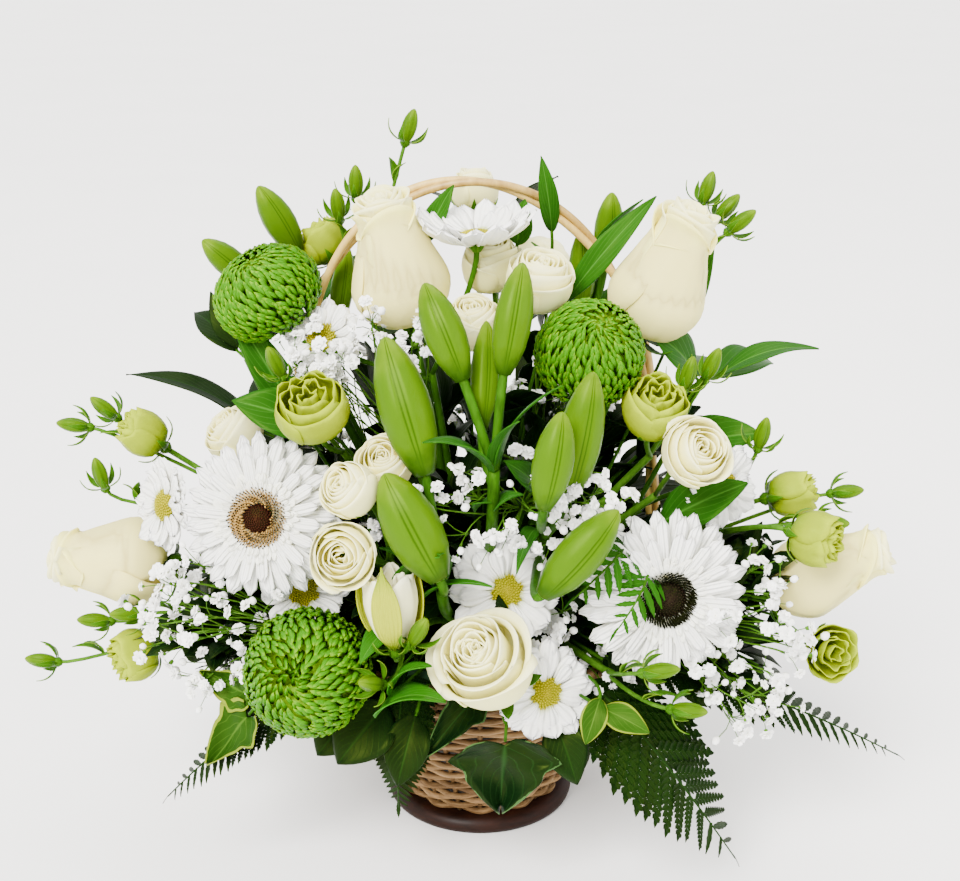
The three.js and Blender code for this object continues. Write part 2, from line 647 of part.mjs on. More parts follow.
// ---------- gerberas ----------
const gerberas = [
  { name: 'gerbera_left', at: [-115, -96, 222], face: [-0.16, -0.9, 0.3], radius: 45,
    disc: colours.brownDisc },
  { name: 'gerbera_right', at: [96, -120, 188], face: [0.12, -0.95, 0.12], radius: 46,
    disc: colours.darkDisc },
];

function placeGerberas() {
  return gerberas.map(({ name, at, face, radius, disc }) => {
    const axis = direction(face), centre = point(at);
    node(name + '_rays', colours.gerbera);
    node(name + '_disc', disc);
    node(name + '_stem', colours.greenStem);
    const rays = rayedFlower({ count: 15, back: -2.5, crown: 4,
      levels: [[10, -2.5], [13, 0], [13, 2.4], [11, 4]], rows: [
      { reach: radius, slope: 0.0, droop: 0.04, stations: [[0.3, 5.6], [0.86, 9.6]] },
      { reach: radius * 0.82, slope: 0.3, droop: 0.08, shift: 0.5, stations: [[0.82, 8.2]] },
      { reach: radius * 0.4, slope: 1.2, stations: [] }] });
    put(name + '_rays', placed(rays, centre, axis));
    const eye = turned([[0, 4 + gap], [8.4, 4 + gap], [9, 7], [5, 9.2], [0, 7.4]], 10, (p) => {
      const rough = 0.5 * Math.cos(6 * Math.atan2(p.y, p.x) + 2 * p.z);
      return p.z > 6 ? vec(p.x, p.y, p.z + rough) : p;
    });
    put(name + '_disc', placed(eye, centre, axis));
    const back = centre.clone().addScaledVector(axis, -2.5 - gap);
    put(name + '_stem', placed(turned([[0, -8], [4.5, -8], [7, -2], [5, 0], [0, 0]], 6), back, axis));
    return () => standingStem(name + '_stem', back.clone().addScaledVector(axis, -6.5), axis, 2.6);
  });
}

// ---------- lime pompon chrysanthemums ----------
const pompons = [
  { name: 'pompon_top_left', at: [-115, -30, 326], face: [-0.4, -0.35, 0.85], radius: 30 },
  { name: 'pompon_right', at: [57, -76, 306], face: [0.15, -0.6, 0.78], radius: 29 },
  { name: 'pompon_front_left', at: [-90, -130, 149], face: [-0.18, -0.9, 0.36], radius: 34 },
];
const pomponRows = 5, pomponPerRow = 8;

// Rows of incurved florets, each drawn out of one facet of the head and leaning towards its crown.
function pomponHead(radius) {
  const shape = surface();
  const sphere = (polar, azimuth, r) => vec(r * Math.sin(polar) * Math.cos(azimuth),
    r * Math.sin(polar) * Math.sin(azimuth),
    r * 0.92 * Math.cos(polar));
  const polarOf = (row) => mix(0.32, 2.25, row / pomponRows);
  const azimuthOf = (row, k) => (2 * Math.PI * (k + (row % 2) / 2)) / pomponPerRow;
  const rings = Array.from({ length: pomponRows + 1 },
    (_, row) => shape.ring(Array.from({ length: pomponPerRow },
    (_, k) => sphere(polarOf(row), azimuthOf(row, k), radius * 0.66))));
  const crown = shape.add(vec(0, 0, radius * 0.62));
  const floret = (corners, polar, azimuth) => {
    const lean = Math.min(0.3, polar * 0.6);
    const wide = radius * 0.88 * Math.sin(polar) * (Math.PI / pomponPerRow) * 0.8;
    const ringAt = sphere(polar - lean * 0.2, azimuth, radius * 0.88);
    const side = vec(-Math.sin(azimuth), Math.cos(azimuth), 0);
    const lift = ringAt.clone().normalize().cross(side).normalize();
    shape.grow(corners, [diamond(ringAt, side, lift, wide, radius * 0.17)],
      sphere(polar - lean, azimuth, radius));
  };
  for (let k = 0; k < pomponPerRow; k++) {
    const next = (k + 1) % pomponPerRow;
    for (let row = 0; row < pomponRows; row++) {
      const middle = (k + (row % 2)) % pomponPerRow;
      const above = row ? rings[row - 1][middle] : crown;
      floret([rings[row][next], above, rings[row][k], rings[row + 1][middle]], polarOf(row),
        azimuthOf(row, k + 0.5));
    }
    const last = rings[pomponRows], before = rings[pomponRows - 1];
    shape.face(last[k], last[next], before[(k + (pomponRows % 2)) % pomponPerRow]);
  }
  shape.fan([...rings[pomponRows]].reverse(), shape.add(vec(0, 0, -radius * 0.66)));
  return shape.solid();
}

function placePompons() {
  return pompons.map(({ name, at, face, radius }) => {
    const axis = direction(face), centre = point(at);
    const base = centre.clone().addScaledVector(axis, -radius * 0.6);
    node(name, colours.limeMum);
    put(name, placed(pomponHead(radius), centre, axis));
    return () => standingStem(name, base, axis, 2.8);
  });
}

// ---------- lily buds ----------
const lilyStems = [
  { name: 'lily_centre', fork: [7, -121, 258], buds: [
    { base: [-9, -108, 303], tip: [-25, -93, 340], width: 24 },
    { base: [12, -108, 306], tip: [20, -93, 350], width: 22 },
    { base: [1, -106, 276], tip: [3, -82, 317], width: 17 }],
  leaves: [[-28, -137, 279, 15], [19, -137, 290, 9], [40, -130, 306, 7], [-3, -112, 232, 12],
    [22, -118, 244, 12]] },
  { name: 'lily_left', fork: [-20, -122, 196], buds: [
    { base: [-28, -120, 257], tip: [-46, -97, 313], width: 31 },
    { base: [-21, -141, 209], tip: [-44, -131, 253], width: 33 }],
  leaves: [[-20, -152, 226, 10], [-52, -112, 212, 12]] },
  { name: 'lily_right', fork: [34, -78, 208], buds: [
    { base: [31, -153, 252], tip: [38, -147, 290], width: 23 },
    { base: [43, -127, 246], tip: [54, -124, 303], width: 26 },
    { base: [32, -150, 204], tip: [63, -142, 239], width: 26 }],
  leaves: [[18, -148, 214, 9]] },
  { name: 'lily_back_left', fork: [-98, 22, 300], buds: [
    { base: [-104, 18, 338], tip: [-120, 14, 369], width: 21 },
    { base: [-130, 14, 322], tip: [-150, 10, 341], width: 19 },
    { base: [-82, 12, 296], tip: [-76, 14, 334], width: 15 }],
  leaves: [[-128, 40, 330, 14], [-70, 46, 330, 14]] },
  { name: 'lily_back_right', fork: [62, 18, 290], buds: [
    { base: [71, 16, 333], tip: [73, 12, 365], width: 19 },
    { base: [58, 14, 306], tip: [58, 16, 344], width: 18 }],
  leaves: [[88, -14, 374, 15], [96, 40, 318, 15], [30, 42, 338, 13]] },
];

// A ribbed bud, widest past its middle.
function lilyBud(base, tip, width) {
  const length = base.distanceTo(tip) + 8;
  const r = width / 2;
  const profile = [[0, -4], [r * 0.5, 0], [r, length * 0.46], [r * 0.42, length * 0.92], [0, length]];
  const bud = turned(profile, 6, (p) => {
    const rib = Math.cos(3 * Math.atan2(p.y, p.x)) > 0 ? 1 : 0.84;
    return vec(p.x * rib, p.y * rib, p.z);
  });
  return placed(bud, base, tip.clone().sub(base).normalize());
}

function placeLilies() {
  return lilyStems.map(({ name, fork, buds, leaves }) => {
    const top = point(fork);
    const up = vec(0.15 * top.x / 100, -0.1, 1).normalize();
    node(name, colours.lilyBud);
    const ends = buds.map((bud) => {
      const base = point(bud.base), tip = point(bud.tip);
      const step = settle(name, lilyBud(base, tip, bud.width));
      return { base: base.add(step), face: point(bud.tip).sub(point(bud.base)).normalize() };
    });
    return () => {
      sprayStem(name, top, up, 2.8, ends);
      return () => leaves.forEach(([x, y, z, width], i) => leafOn(name,
        top.clone().addScaledVector(up, -3 - 5 * i), vec(x, y, z),
        width, (root, tip, wide) => lanceLeaf(root, tip, wide, { arch: 0.12, stations: [0.42] })));
    };
  });
}

// ---------- small cupped blooms: lisianthus, spray roses and alstroemeria ----------
// One whorl round a closed heart. open 0 is a bud about to open, and 1 lies wide open.
function cup({ open, petals = 5, plain = false }) {
  const half = Math.PI / petals;
  const belly = [mix(0.82, 0.86, open), mix(0.5, 0.38, open), half * 0.95];
  const brim = [mix(0.8, 1.1, open), mix(0.86, 0.64, open), half * (plain ? 0.95 : mix(1.08, 1.0, open))];
  return { sectors: petals, core: [[0.3, 0], [0.36, 0.14]], heart: [[0.5, mix(0.6, 0.5, open)]],
    crown: mix(0.86, 0.68, open),
    rows: [[{ stations: plain ? [brim] : [belly, brim], tip: [mix(0.7, 1.3, open), mix(1, 0.72, open)] }]] };
}

// Sprays share one build: a stem to a fork, then a branch to each bloom and bud.
const sprays = [
  { name: 'lisianthus_left_high', colour: 'lisianthus', fork: [-138, -22, 206], blooms: [
    { at: [-190, -24, 243], face: [-0.75, -0.2, 0.62], radius: 13, length: 27, open: 0.1 }],
  buds: [[-216, -8, 254, -0.7, 0, 0.6], [-233, -15, 245, -1, 0, 0.15], [-215, -30, 223, -0.25, 0, 1]] },
  { name: 'lisianthus_left_low', colour: 'lisianthus', fork: [-150, -42, 142], blooms: [
    { at: [-197, -58, 121], face: [-0.85, -0.5, -0.1], radius: 15, length: 26, open: 0.2 }],
  buds: [[-222, -50, 139, -1, -0.1, 0.1], [-200, -62, 149, -1, -0.3, 0.1], [-256, -45, 111, -1, 0, 0.12]] },
  { name: 'lisianthus_upper_left', colour: 'lisianthus', fork: [-74, -62, 246], blooms: [
    { at: [-86, -95, 281], face: [-0.2, -0.7, 0.68], radius: 19, length: 26, open: 0.6 }],
  buds: [[-108, -68, 300, -0.4, -0.2, 1]] },
  { name: 'lisianthus_back_left', colour: 'lisianthus', fork: [-66, 22, 318], blooms: [
    { at: [-91, 30, 340], face: [-0.55, 0.1, 0.8], radius: 15, length: 24, open: 0.5 }],
  buds: [[-38, 12, 411, 0.3, 0, 1], [-70, 24, 378, 0, 0, 1], [-80, 14, 367, -0.1, -0.2, 1]] },
  { name: 'lisianthus_back_right', colour: 'lisianthus', fork: [112, 16, 318], blooms: [],
    buds: [[126, 6, 378, 0.3, 0, 1], [139, 10, 366, 0.7, 0, 0.8], [146, 0, 360, 0.8, -0.1, 0.7]] },
  { name: 'lisianthus_right_high', colour: 'lisianthus', fork: [92, -62, 244], blooms: [
    { at: [90, -90, 280], face: [0.3, -0.6, 0.74], radius: 16, length: 26, open: 0.4 }],
  buds: [[110, -68, 294, 0.25, 0, 1], [124, -58, 296, 0.4, 0, 1]] },
  { name: 'lisianthus_right', colour: 'lisianthus', fork: [130, -46, 192], blooms: [
    { at: [175, -40, 213], face: [0.95, -0.1, 0.25], radius: 13, length: 27, open: 0.1 },
    { at: [176, -100, 212], face: [0.8, -0.55, -0.05], radius: 15, length: 26, open: 0.2 },
    { at: [192, -74, 137], face: [0.6, -0.78, 0.1], radius: 14, length: 24, open: 0.5 }],
  buds: [[212, -22, 207, 1, 0, 0.12], [194, -66, 206, 1, -0.1, 0], [153, -58, 257, 0.2, -0.1, 1]] },
  { name: 'lisianthus_front', colour: 'lisianthus', fork: [72, -96, 130], blooms: [],
    buds: [[93, -152, 162, 1, -0.15, 0.2], [110, -140, 132, 1, -0.1, -0.05]] },
  { name: 'spray_rose_left', colour: 'creamRose', fork: [-50, -76, 188], blooms: [
    { at: [-49, -105, 256], face: [-0.15, -0.65, 0.75], radius: 14, length: 25, open: 0.35 },
    { at: [-66, -128, 251], face: [-0.5, -0.6, 0.6], radius: 14, length: 25, open: 0.2 },
    { at: [-69, -138, 219], face: [-0.1, -0.93, 0.36], radius: 16, length: 22, open: 0.6 }], buds: [] },
  { name: 'spray_rose_top', colour: 'creamRose', plain: true, fork: [10, -30, 292], blooms: [
    { at: [6, -28, 343], face: [-0.1, -0.3, 0.95], radius: 16, length: 30, open: 0.3 },
    { at: [31, -58, 341], face: [0.15, -0.35, 0.92], radius: 17, length: 32, open: 0.5 },
    { at: [-4, -54, 317], face: [-0.05, -0.45, 0.9], radius: 14, length: 28, open: 0.2 }], buds: [] },
  { name: 'spray_rose_right', colour: 'creamRose', fork: [96, -60, 220], blooms: [
    { at: [110, -110, 264], face: [0.3, -0.75, 0.58], radius: 17, length: 26, open: 0.6 }], buds: [] },
  { name: 'spray_rose_back', colour: 'creamRose', plain: true, fork: [0, 46, 300], blooms: [
    { at: [-3, 34, 376], face: [0, 0.15, 0.98], radius: 16, length: 30, open: 0.4 },
    { at: [36, 84, 316], face: [0.25, 0.75, 0.6], radius: 17, length: 28, open: 0.5 }], buds: [] },
  { name: 'spray_rose_left_back', colour: 'creamRose', plain: true, fork: [-92, 16, 186], blooms: [
    { at: [-139, -28, 244], face: [-0.6, -0.25, 0.75], radius: 16, length: 28, open: 0.3 },
    { at: [-118, 76, 226], face: [-0.55, 0.6, 0.55], radius: 17, length: 28, open: 0.5 }], buds: [] },
  { name: 'alstroemeria', colour: 'alstroemeria', fork: [-42, -120, 166], petals: 6, plain: true, blooms: [
    { at: [-45, -136, 192], face: [-0.1, -0.35, 0.93], radius: 17, length: 36, open: 0.45 }],
  buds: [[-30, -150, 184, 0.4, -0.2, 0.8], [-56, -156, 157, -0.5, -0.6, 0.4]],
  leaves: [[-22, -154, 216, 15], [-38, -158, 136, 17], [-60, -158, 172, 13]] },
];

function placeSprays() {
  return sprays.map(({ name, colour, fork, blooms, buds, petals, plain = colour === 'lisianthus',
    leaves = [] }) => {
    const top = point(fork);
    const heading = top.clone().sub(vec(0, 0, foam.top)).normalize();
    node(name, colours[colour]);
    const ends = blooms.map((bloom) => {
      const face = direction(bloom.face);
      const base = point(bloom.at).addScaledVector(face, -bloom.length * 0.5);
      const step = settle(name, placed(whorledBloom({ radius: bloom.radius, length: bloom.length,
        ...cup({ open: bloom.open, petals, plain }) }), base, face));
      return { base: base.add(step), face };
    });
    return () => {
      const tips = buds.map(([x, y, z, ...way]) => ({ face: direction(way), bud: { length: 20, girth: 4.8 },
        base: vec(x, y, z).addScaledVector(direction(way), -11) }));
      sprayStem(name, top, heading, 2.1, [...ends, ...tips], { samples: 2 });
      return () => leaves.forEach(([x, y, z, width], i) => leafOn(name,
        top.clone().addScaledVector(heading, -2 - 4 * i), vec(x, y, z), width,
        (root, tip, wide) => lanceLeaf(root, tip, wide, { arch: 0.18, stations: [0.4] })));
    };
  });
}

// ---------- white daisy chrysanthemums ----------
const daisySprays = [
  { name: 'daisy_front', fork: [16, -72, 142], heads: [
    { at: [12, -104, 181], face: [0.1, -0.85, 0.5], radius: 28, cup: 0.12 },
    { at: [35, -118, 130], face: [0.4, -0.85, 0.1], radius: 28, cup: 0.1 }] },
  { name: 'daisy_top', fork: [-26, -42, 284], heads: [
    { at: [-3, -44, 362], face: [0, -0.08, 1], radius: 29, cup: 0.75 },
    { at: [-86, -46, 304], face: [-0.35, -0.6, 0.6], radius: 24, cup: 0.3 }] },
  { name: 'daisy_left', fork: [-92, -48, 172], heads: [
    { at: [-172, -55, 212], face: [-0.7, -0.6, 0.25], radius: 26, cup: 0.3 },
    { at: [-95, -90, 178], face: [0.05, -0.95, 0.05], radius: 25, cup: 0.1 }] },
  { name: 'daisy_right', fork: [84, 4, 182], heads: [
    { at: [128, -76, 232], face: [0.5, -0.75, 0.2], radius: 25, cup: 0.15 },
    { at: [112, 88, 214], face: [0.5, 0.8, 0.3], radius: 27, cup: 0.15 }] },
];

function placeDaisies() {
  return daisySprays.map(({ name, fork, heads }) => {
    const top = point(fork);
    const heading = top.clone().sub(vec(0, 0, foam.top)).normalize();
    node(name, colours.daisy);
    const ends = heads.map(({ at, face, radius, cup }) => {
      const axis = direction(face);
      const head = rayedFlower({ count: 10, back: -3, crown: 5, levels: [[6, -3], [6.8, 1.6]], rows: [
        { reach: radius, slope: cup, stagger: 0.14, droop: cup * 0.15, stations: [[0.7, radius * 0.44]] }] });
      const step = settle(name, placed(head, point(at), axis));
      return { base: point(at).add(step).addScaledVector(axis, -3), face: axis };
    });
    return () => {
      sprayStem(name, top, heading, 2, ends, { samples: 2 });
    };
  });
}

// ---------- fern fronds ----------
const fernBunches = [
  { name: 'fern_right', entry: [38, -48], fronds: [
    { via: [66, -132, 150], tip: [140, -126, 32], width: 92, pinnae: 7 },
    { via: [112, -110, 152], tip: [240, -72, 64], width: 44, pinnae: 7 }] },
  { name: 'fern_left', entry: [-38, -46], fronds: [
    { via: [-92, -120, 152], tip: [-174, -102, 56], width: 46, pinnae: 6 },
    { via: [-44, -132, 150], tip: [-44, -128, 66], width: 44, pinnae: 5 }] },
  { name: 'fern_back', entry: [-16, 52], fronds: [
    { via: [-56, 126, 168], tip: [-130, 146, 70], width: 90, pinnae: 6 },
    { via: [60, 126, 170], tip: [134, 140, 76], width: 90, pinnae: 6 }] },
];

// A frond: a square rib that arches over the rim, with a leaflet drawn out of each side of each stretch of
// it.
function frond(name, curve, foot, { width, pinnae }) {
  const shape = surface();
  const bare = [0, 0.2], bladeStart = 0.4;
  const shares = [...bare, ...Array.from({ length: pinnae + 1 },
    (_, i) => mix(bladeStart, 0.95, i / pinnae))];
  const frameAt = (centre, along, girth) => {
    const up = vec(centre.x, centre.y, 0).normalize().setZ(0.9);
    const side = up.clone().cross(along).normalize();
    return { centre, along, side, lift: along.clone().cross(side).normalize(), girth };
  };
  const frames = shares.map((share, i) => frameAt(curve.getPoint(share), curve.getTangent(share),
    mix(1.7, 0.9, i / shares.length)));
  const section = ({ centre, side, lift, girth }) => [[1, -1], [1, 1], [-1, 1],
    [-1, -1]].map(([a, b]) => centre.clone()
    .addScaledVector(side, a * girth).addScaledVector(lift, b * girth * 0.7));
  const start = frameAt(foot, frames[0].centre.clone().sub(foot).normalize(), 1.7);
  const rings = [start, ...frames].map((frame) => shape.ring(section(frame)));
  shape.fan([...rings[0]].reverse(), shape.add(foot));
  rings.slice(0, -1).forEach((low, i) => {
    const high = rings[i + 1];
    if (i <= bare.length) {
      shape.band(low, high);
      return;
    }
    const from = frames[i - 1];
    const share = (i - bare.length - 1) / pinnae;
    const reach = (width / 2) * Math.sin(Math.PI * mix(0.4, 0.96, share)) ** 0.8 + 5;
    shape.face(low[1], low[2], high[2]);
    shape.face(low[1], high[2], high[1]);
    shape.face(low[3], low[0], high[0]);
    shape.face(low[3], high[0], high[3]);
    for (const way of [1, -1]) {
      // corners run anticlockwise as seen from the leaflet's tip
      const corners = way > 0 ? [low[0], low[1], high[1], high[0]] : [high[3], high[2], low[2], low[3]];
      const out = from.side.clone().multiplyScalar(way);
      const across = from.along.clone().multiplyScalar(-way);
      const tries = [[1, 0], [0.8, 0], [0.9, 8], [0.9, -8], [0.6, 5], [0.6, -6], [0.4, 0]];
      const grown = tries.some(([scale, dip]) => {
        const tip = from.centre.clone().addScaledVector(out, reach * scale).addScaledVector(from.along,
          reach * 0.42)
          .addScaledVector(from.lift, dip);
        const middle = from.centre.clone().lerp(tip, 0.42).addScaledVector(from.lift, 1.2 + dip * 0.2)
          .addScaledVector(from.along, 2);
        const rings = width < 50 ? [] : [diamond(middle, across, from.lift, Math.min(5, reach * 0.17), 1.3)];
        const options = { squareRoot: true };
        if (crosses(outgrowth(corners.map(shape.at), rings, tip, options), name)) return false;
        shape.grow(corners, rings, tip, options);
        return true;
      });
      if (!grown) {
        shape.face(corners[0], corners[1], corners[2]);
        shape.face(corners[0], corners[2], corners[3]);
      }
    }
  });
  const end = rings[rings.length - 1];
  shape.fan(end, shape.add(curve.getPoint(1)));
  return shape.solid();
}

function placeFerns() {
  return fernBunches.map(({ name, entry, fronds }) => {
    node(name, colours.fern);
    return () => {
      const [mouth] = [...mouths(entry[0], entry[1], 2.2)];
      const foot = footOf(mouth);
      feet.push({ line: [foot, mouth], radius: 3, sides: 4 });
      return () => fronds.forEach((spec) => {
        const curve = new THREE.QuadraticBezierCurve3(mouth, point(spec.via), point(spec.tip));
        put(name, frond(name, curve, foot, spec));
      });
    };
  });
}

// ---------- ivy and broad leaves ----------
// A lobed ivy leaf: wide, narrow and wide again on its way to the point.
function ivyLeaf(root, tip, width, up) {
  const along = tip.clone().sub(root);
  const side = along.clone().cross(up).normalize(), lift = side.clone().cross(along).normalize();
  const halves = [[0, 0], [0.14, 0.34], [0.34, 0.5], [0.5, 0.36], [0.66, 0.3], [1, 0]];
  const half = (t) => {
    const i = Math.min(halves.length - 2, halves.findLastIndex(([at]) => at <= t + 1e-9));
    return width * mix(halves[i][1], halves[i + 1][1],
      (t - halves[i][0]) / (halves[i + 1][0] - halves[i][0]));
  };
  return blade((s, t) => root.clone().addScaledVector(along, t).addScaledVector(side,
    s * half(Math.max(0, Math.min(1, t))))
    .addScaledVector(lift, 0.08 * width * (Math.sin(Math.PI * t) - 0.6 * Math.abs(s))),
      [0.14, 0.34, 0.5, 0.66], 3, 1.2);
}

// A leafy stem: it leaves the foam, runs through a few places and carries leaves there.
const leafyStems = [
  { name: 'ivy_front', entry: [6, -62], ivy: true, radius: 1.3, line: [[6, -104, 132], [14, -128, 118]],
    leaves: [{ from: 1, tip: [14, -122, 60], width: 46 }, { from: 0, tip: [50, -132, 86], width: 26 },
      { from: 0, tip: [-30, -134, 100], width: 22 }] },
  { name: 'ivy_left', entry: [-58, -38], ivy: true, radius: 1.2, line: [[-98, -78, 132], [-118, -112, 122]],
    leaves: [{ from: 1, tip: [-148, -114, 84], width: 30 }, { from: 1, tip: [-152, -96, 132], width: 24 }] },
  { name: 'leafy_left', entry: [-50, -8], radius: 1.8,
    line: [[-84, -12, 178], [-112, -13, 236], [-132, -8, 282]],
    leaves: [{ from: 1, tip: [-202, -2, 271], width: 20 }, { from: 2, tip: [-152, 4, 318], width: 14 },
      { from: 1, tip: [-96, -54, 272], width: 30 }, { from: 2, tip: [-92, 12, 302], width: 24 },
      { from: 1, tip: [-160, 34, 222], width: 32 }, { from: 2, tip: [-166, 26, 300], width: 18 },
      { from: 0, tip: [-60, -56, 212], width: 28 }, { from: 1, tip: [-126, 54, 262], width: 30 }] },
  { name: 'leafy_right', entry: [48, -8], radius: 1.8,
    line: [[82, -12, 176], [110, -19, 232], [122, -24, 274]],
    leaves: [{ from: 2, tip: [191, -8, 288], width: 16 }, { from: 1, tip: [154, -44, 250], width: 28 },
      { from: 2, tip: [92, -46, 308], width: 24 }, { from: 1, tip: [160, 26, 222], width: 32 },
      { from: 2, tip: [172, 30, 268], width: 24 }, { from: 0, tip: [60, -56, 206], width: 28 },
      { from: 2, tip: [118, 48, 266], width: 30 }] },
  { name: 'leafy_back', entry: [10, 62], radius: 1.8, line: [[10, 92, 190], [6, 92, 262], [12, 62, 326]],
    leaves: [{ from: 0, tip: [-56, 118, 204], width: 40 }, { from: 0, tip: [74, 118, 206], width: 40 },
      { from: 1, tip: [-54, 104, 286], width: 38 }, { from: 1, tip: [66, 108, 284], width: 38 },
      { from: 2, tip: [46, 66, 372], width: 26 }, { from: 2, tip: [-34, 74, 362], width: 26 }] },
];

function placeLeafyStems() {
  return leafyStems.map(({ name, entry, ivy, radius, line, leaves }) => {
    node(name, ivy ? colours.ivy : colours.leaf);
    const places = line.map(point);
    const last = places[places.length - 1];
    const end = last.clone().add(last.clone().sub(places[places.length - 2]).setLength(4));
    return () => {
      for (const mouth of mouths(entry[0], entry[1], radius)) {
        const foot = footOf(mouth);
        const curve = new THREE.CatmullRomCurve3([mouth, ...places]);
        const stem = rod([foot, ...curve.getPoints(line.length * 2), end], radius, 4);
        if (!crosses(stem, name)) {
          feet.push({ line: [foot, mouth], radius, sides: 4 });
          put(name, stem);
          break;
        }
      }
      leaves.forEach(({ from, tip, width }) => {
        const root = places[from];
        const up = vec(root.x, root.y, 0).normalize();
        leafOn(name, root, point(tip), width, (start, end, wide) => (ivy
          ? ivyLeaf(start, end, wide, up.clone().setZ(0.4).normalize())
          : lanceLeaf(start, end, wide, { arch: 0.1, up: vec(up.x * 0.6, up.y * 0.6 - 0.3, 1),
            stations: [0.4] })));
      });
    };
  });
}

// ---------- baby's breath ----------
const breathSprays = [
  { name: 'babys_breath_left', fork: [-96, -70, 140], centre: [-150, -92, 156], spread: [44, 30, 44],
    knots: 3, seed: 5 },
  { name: 'babys_breath_upper', fork: [-40, -34, 236], centre: [-62, -58, 300], spread: [40, 26, 26],
    knots: 2, seed: 11 },
  { name: 'babys_breath_centre', fork: [22, -84, 222], centre: [22, -118, 240], spread: [52, 18, 22],
    knots: 3, seed: 23 },
  { name: 'babys_breath_right', fork: [104, -66, 138], centre: [146, -106, 158], spread: [42, 28, 46],
    knots: 3, seed: 31 },
];
const floretRadius = 3.4, stalkLength = [14, 26];

// A knot with a thin stalk and a floret drawn out of each face that has room, about a twig from the fork.
function breathKnot(name, fork, knot, draw) {
  const shape = surface();
  const size = 1.7;
  const axes = [vec(1, 0, 0), vec(0, 1, 0), vec(-1, 0, 0), vec(0, -1, 0)];
  const belt = shape.ring(axes.map((axis) => knot.clone().addScaledVector(axis, size)));
  const top = shape.add(knot.clone().setZ(knot.z + size)),
    bottom = shape.add(knot.clone().setZ(knot.z - size));
  const back = fork.clone().sub(knot).normalize();
  for (let i = 0; i < 4; i++) {
    const j = (i + 1) % 4;
    for (const corners of [[belt[i], belt[j], top], [belt[j], belt[i], bottom]]) {
      const places = corners.map(shape.at);
      const middle = places.reduce((sum, p) => sum.add(p), vec(0, 0, 0)).multiplyScalar(1 / 3);
      const out = middle.clone().sub(knot).normalize();
      const grown = out.dot(back) < 0.35 && [0, 1, 2, 3, 4].some((attempt) => {
        const way = out.clone().add(vec(draw() - 0.5, draw() - 0.5,
          draw() - 0.5).multiplyScalar(0.5 + 0.2 * attempt)).normalize();
        const length = mix(...stalkLength, draw()) * (1 - 0.12 * attempt);
        const first = shape.at(corners[0]).sub(middle);
        const side = first.addScaledVector(way, -first.dot(way)).normalize();
        const lift = way.clone().cross(side);
        const circle = (radius, at) => [0, 1, 2].map((s) => middle.clone().addScaledVector(way, at)
          .addScaledVector(side, radius * Math.cos(2.0944 * s)).addScaledVector(lift,
            radius * Math.sin(2.0944 * s)));
        const rings = [circle(0.6, length - 3.4), circle(floretRadius, length)];
        const tip = middle.clone().addScaledVector(way, length + 2.6);
        if (crosses(outgrowth(corners.map(shape.at), rings, tip), name)) return false;
        shape.grow(corners, rings, tip);
        return true;
      });
      if (!grown) shape.face(...corners);
    }
  }
  return shape.solid();
}

function placeBabysBreath() {
  return breathSprays.map(({ name, fork, centre, spread, knots, seed }) => {
    const top = point(fork), middle = point(centre);
    node(name, colours.babysBreath);
    return () => {
      standingStem(name, top, middle.clone().sub(top).normalize(), 1.5, { sides: 3, samples: 2 });
      return () => {
        const draw = seeded(seed);
        for (let i = 0; i < knots; i++) {
          for (let attempt = 0; attempt < 30; attempt++) {
            const knot = middle.clone().add(vec(spread[0] * (draw() * 1.4 - 0.7),
              spread[1] * (draw() * 1.4 - 0.7),
              spread[2] * (draw() * 1.4 - 0.7)));
            const twig = rod([top, knot], 0.8, 3);
            const ball = turned([[0, -1.7], [1.7, 0], [0, 1.7]], 4).translate(knot.toArray());
            if (crosses(twig, name) || crosses(ball, name)) continue;
            put(name, twig);
            put(name, breathKnot(name, top, knot, draw));
            break;
          }
        }
      };
    };
  });
}

// ---------- assembly ----------
// First the basket, then every head, then the stems, and last the leaves and florets that fill the room
// between.
node('basket_foot', colours.foot, 0.5);
node('basket_wall', colours.wicker, 0.8);
node('basket_rim', colours.wicker, 0.8);
node('basket_handle', colours.handle, 0.6);
node('liner', colours.liner, 0.4);
put('basket_foot', basketFoot());
put('basket_wall', basketWall());
put('basket_rim', basketRim());
put('basket_handle', basketHandle());
put('liner', basketLiner());
const heads = [placeLeafyStems, placeLargeRoses, placeGerberas, placePompons, placeLilies, placeSprays,
  placeDaisies,
  placeFerns, placeBabysBreath].flatMap((place) => place());
const fillers = heads.map((grow) => grow()).filter((grow) => typeof grow === 'function');
fillers.forEach((grow) => grow());
node('foam_block', colours.foam, 0.95);
put('foam_block', foamBlock());
[...nodes.keys()].forEach(finish);

export default group;
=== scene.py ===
import bmesh
import bpy
import math
import random
from mathutils import Matrix, Vector, noise


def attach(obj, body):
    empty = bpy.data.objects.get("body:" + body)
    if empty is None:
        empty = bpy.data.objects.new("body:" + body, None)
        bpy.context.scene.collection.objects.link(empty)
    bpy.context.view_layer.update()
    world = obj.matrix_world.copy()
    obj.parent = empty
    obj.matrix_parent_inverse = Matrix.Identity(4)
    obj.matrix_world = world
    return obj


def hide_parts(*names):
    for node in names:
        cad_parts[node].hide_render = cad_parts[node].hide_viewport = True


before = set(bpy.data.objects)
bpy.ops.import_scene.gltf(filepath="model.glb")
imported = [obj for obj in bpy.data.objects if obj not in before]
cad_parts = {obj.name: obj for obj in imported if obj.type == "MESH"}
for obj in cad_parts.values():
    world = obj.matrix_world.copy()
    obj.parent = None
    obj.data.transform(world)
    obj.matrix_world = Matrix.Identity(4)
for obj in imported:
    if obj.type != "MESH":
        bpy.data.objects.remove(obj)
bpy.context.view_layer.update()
scene = bpy.context.scene
mm = 0.001  # shapes are worked out in millimetres and made metres when a piece is finished
up = Vector((0, 0, 1))
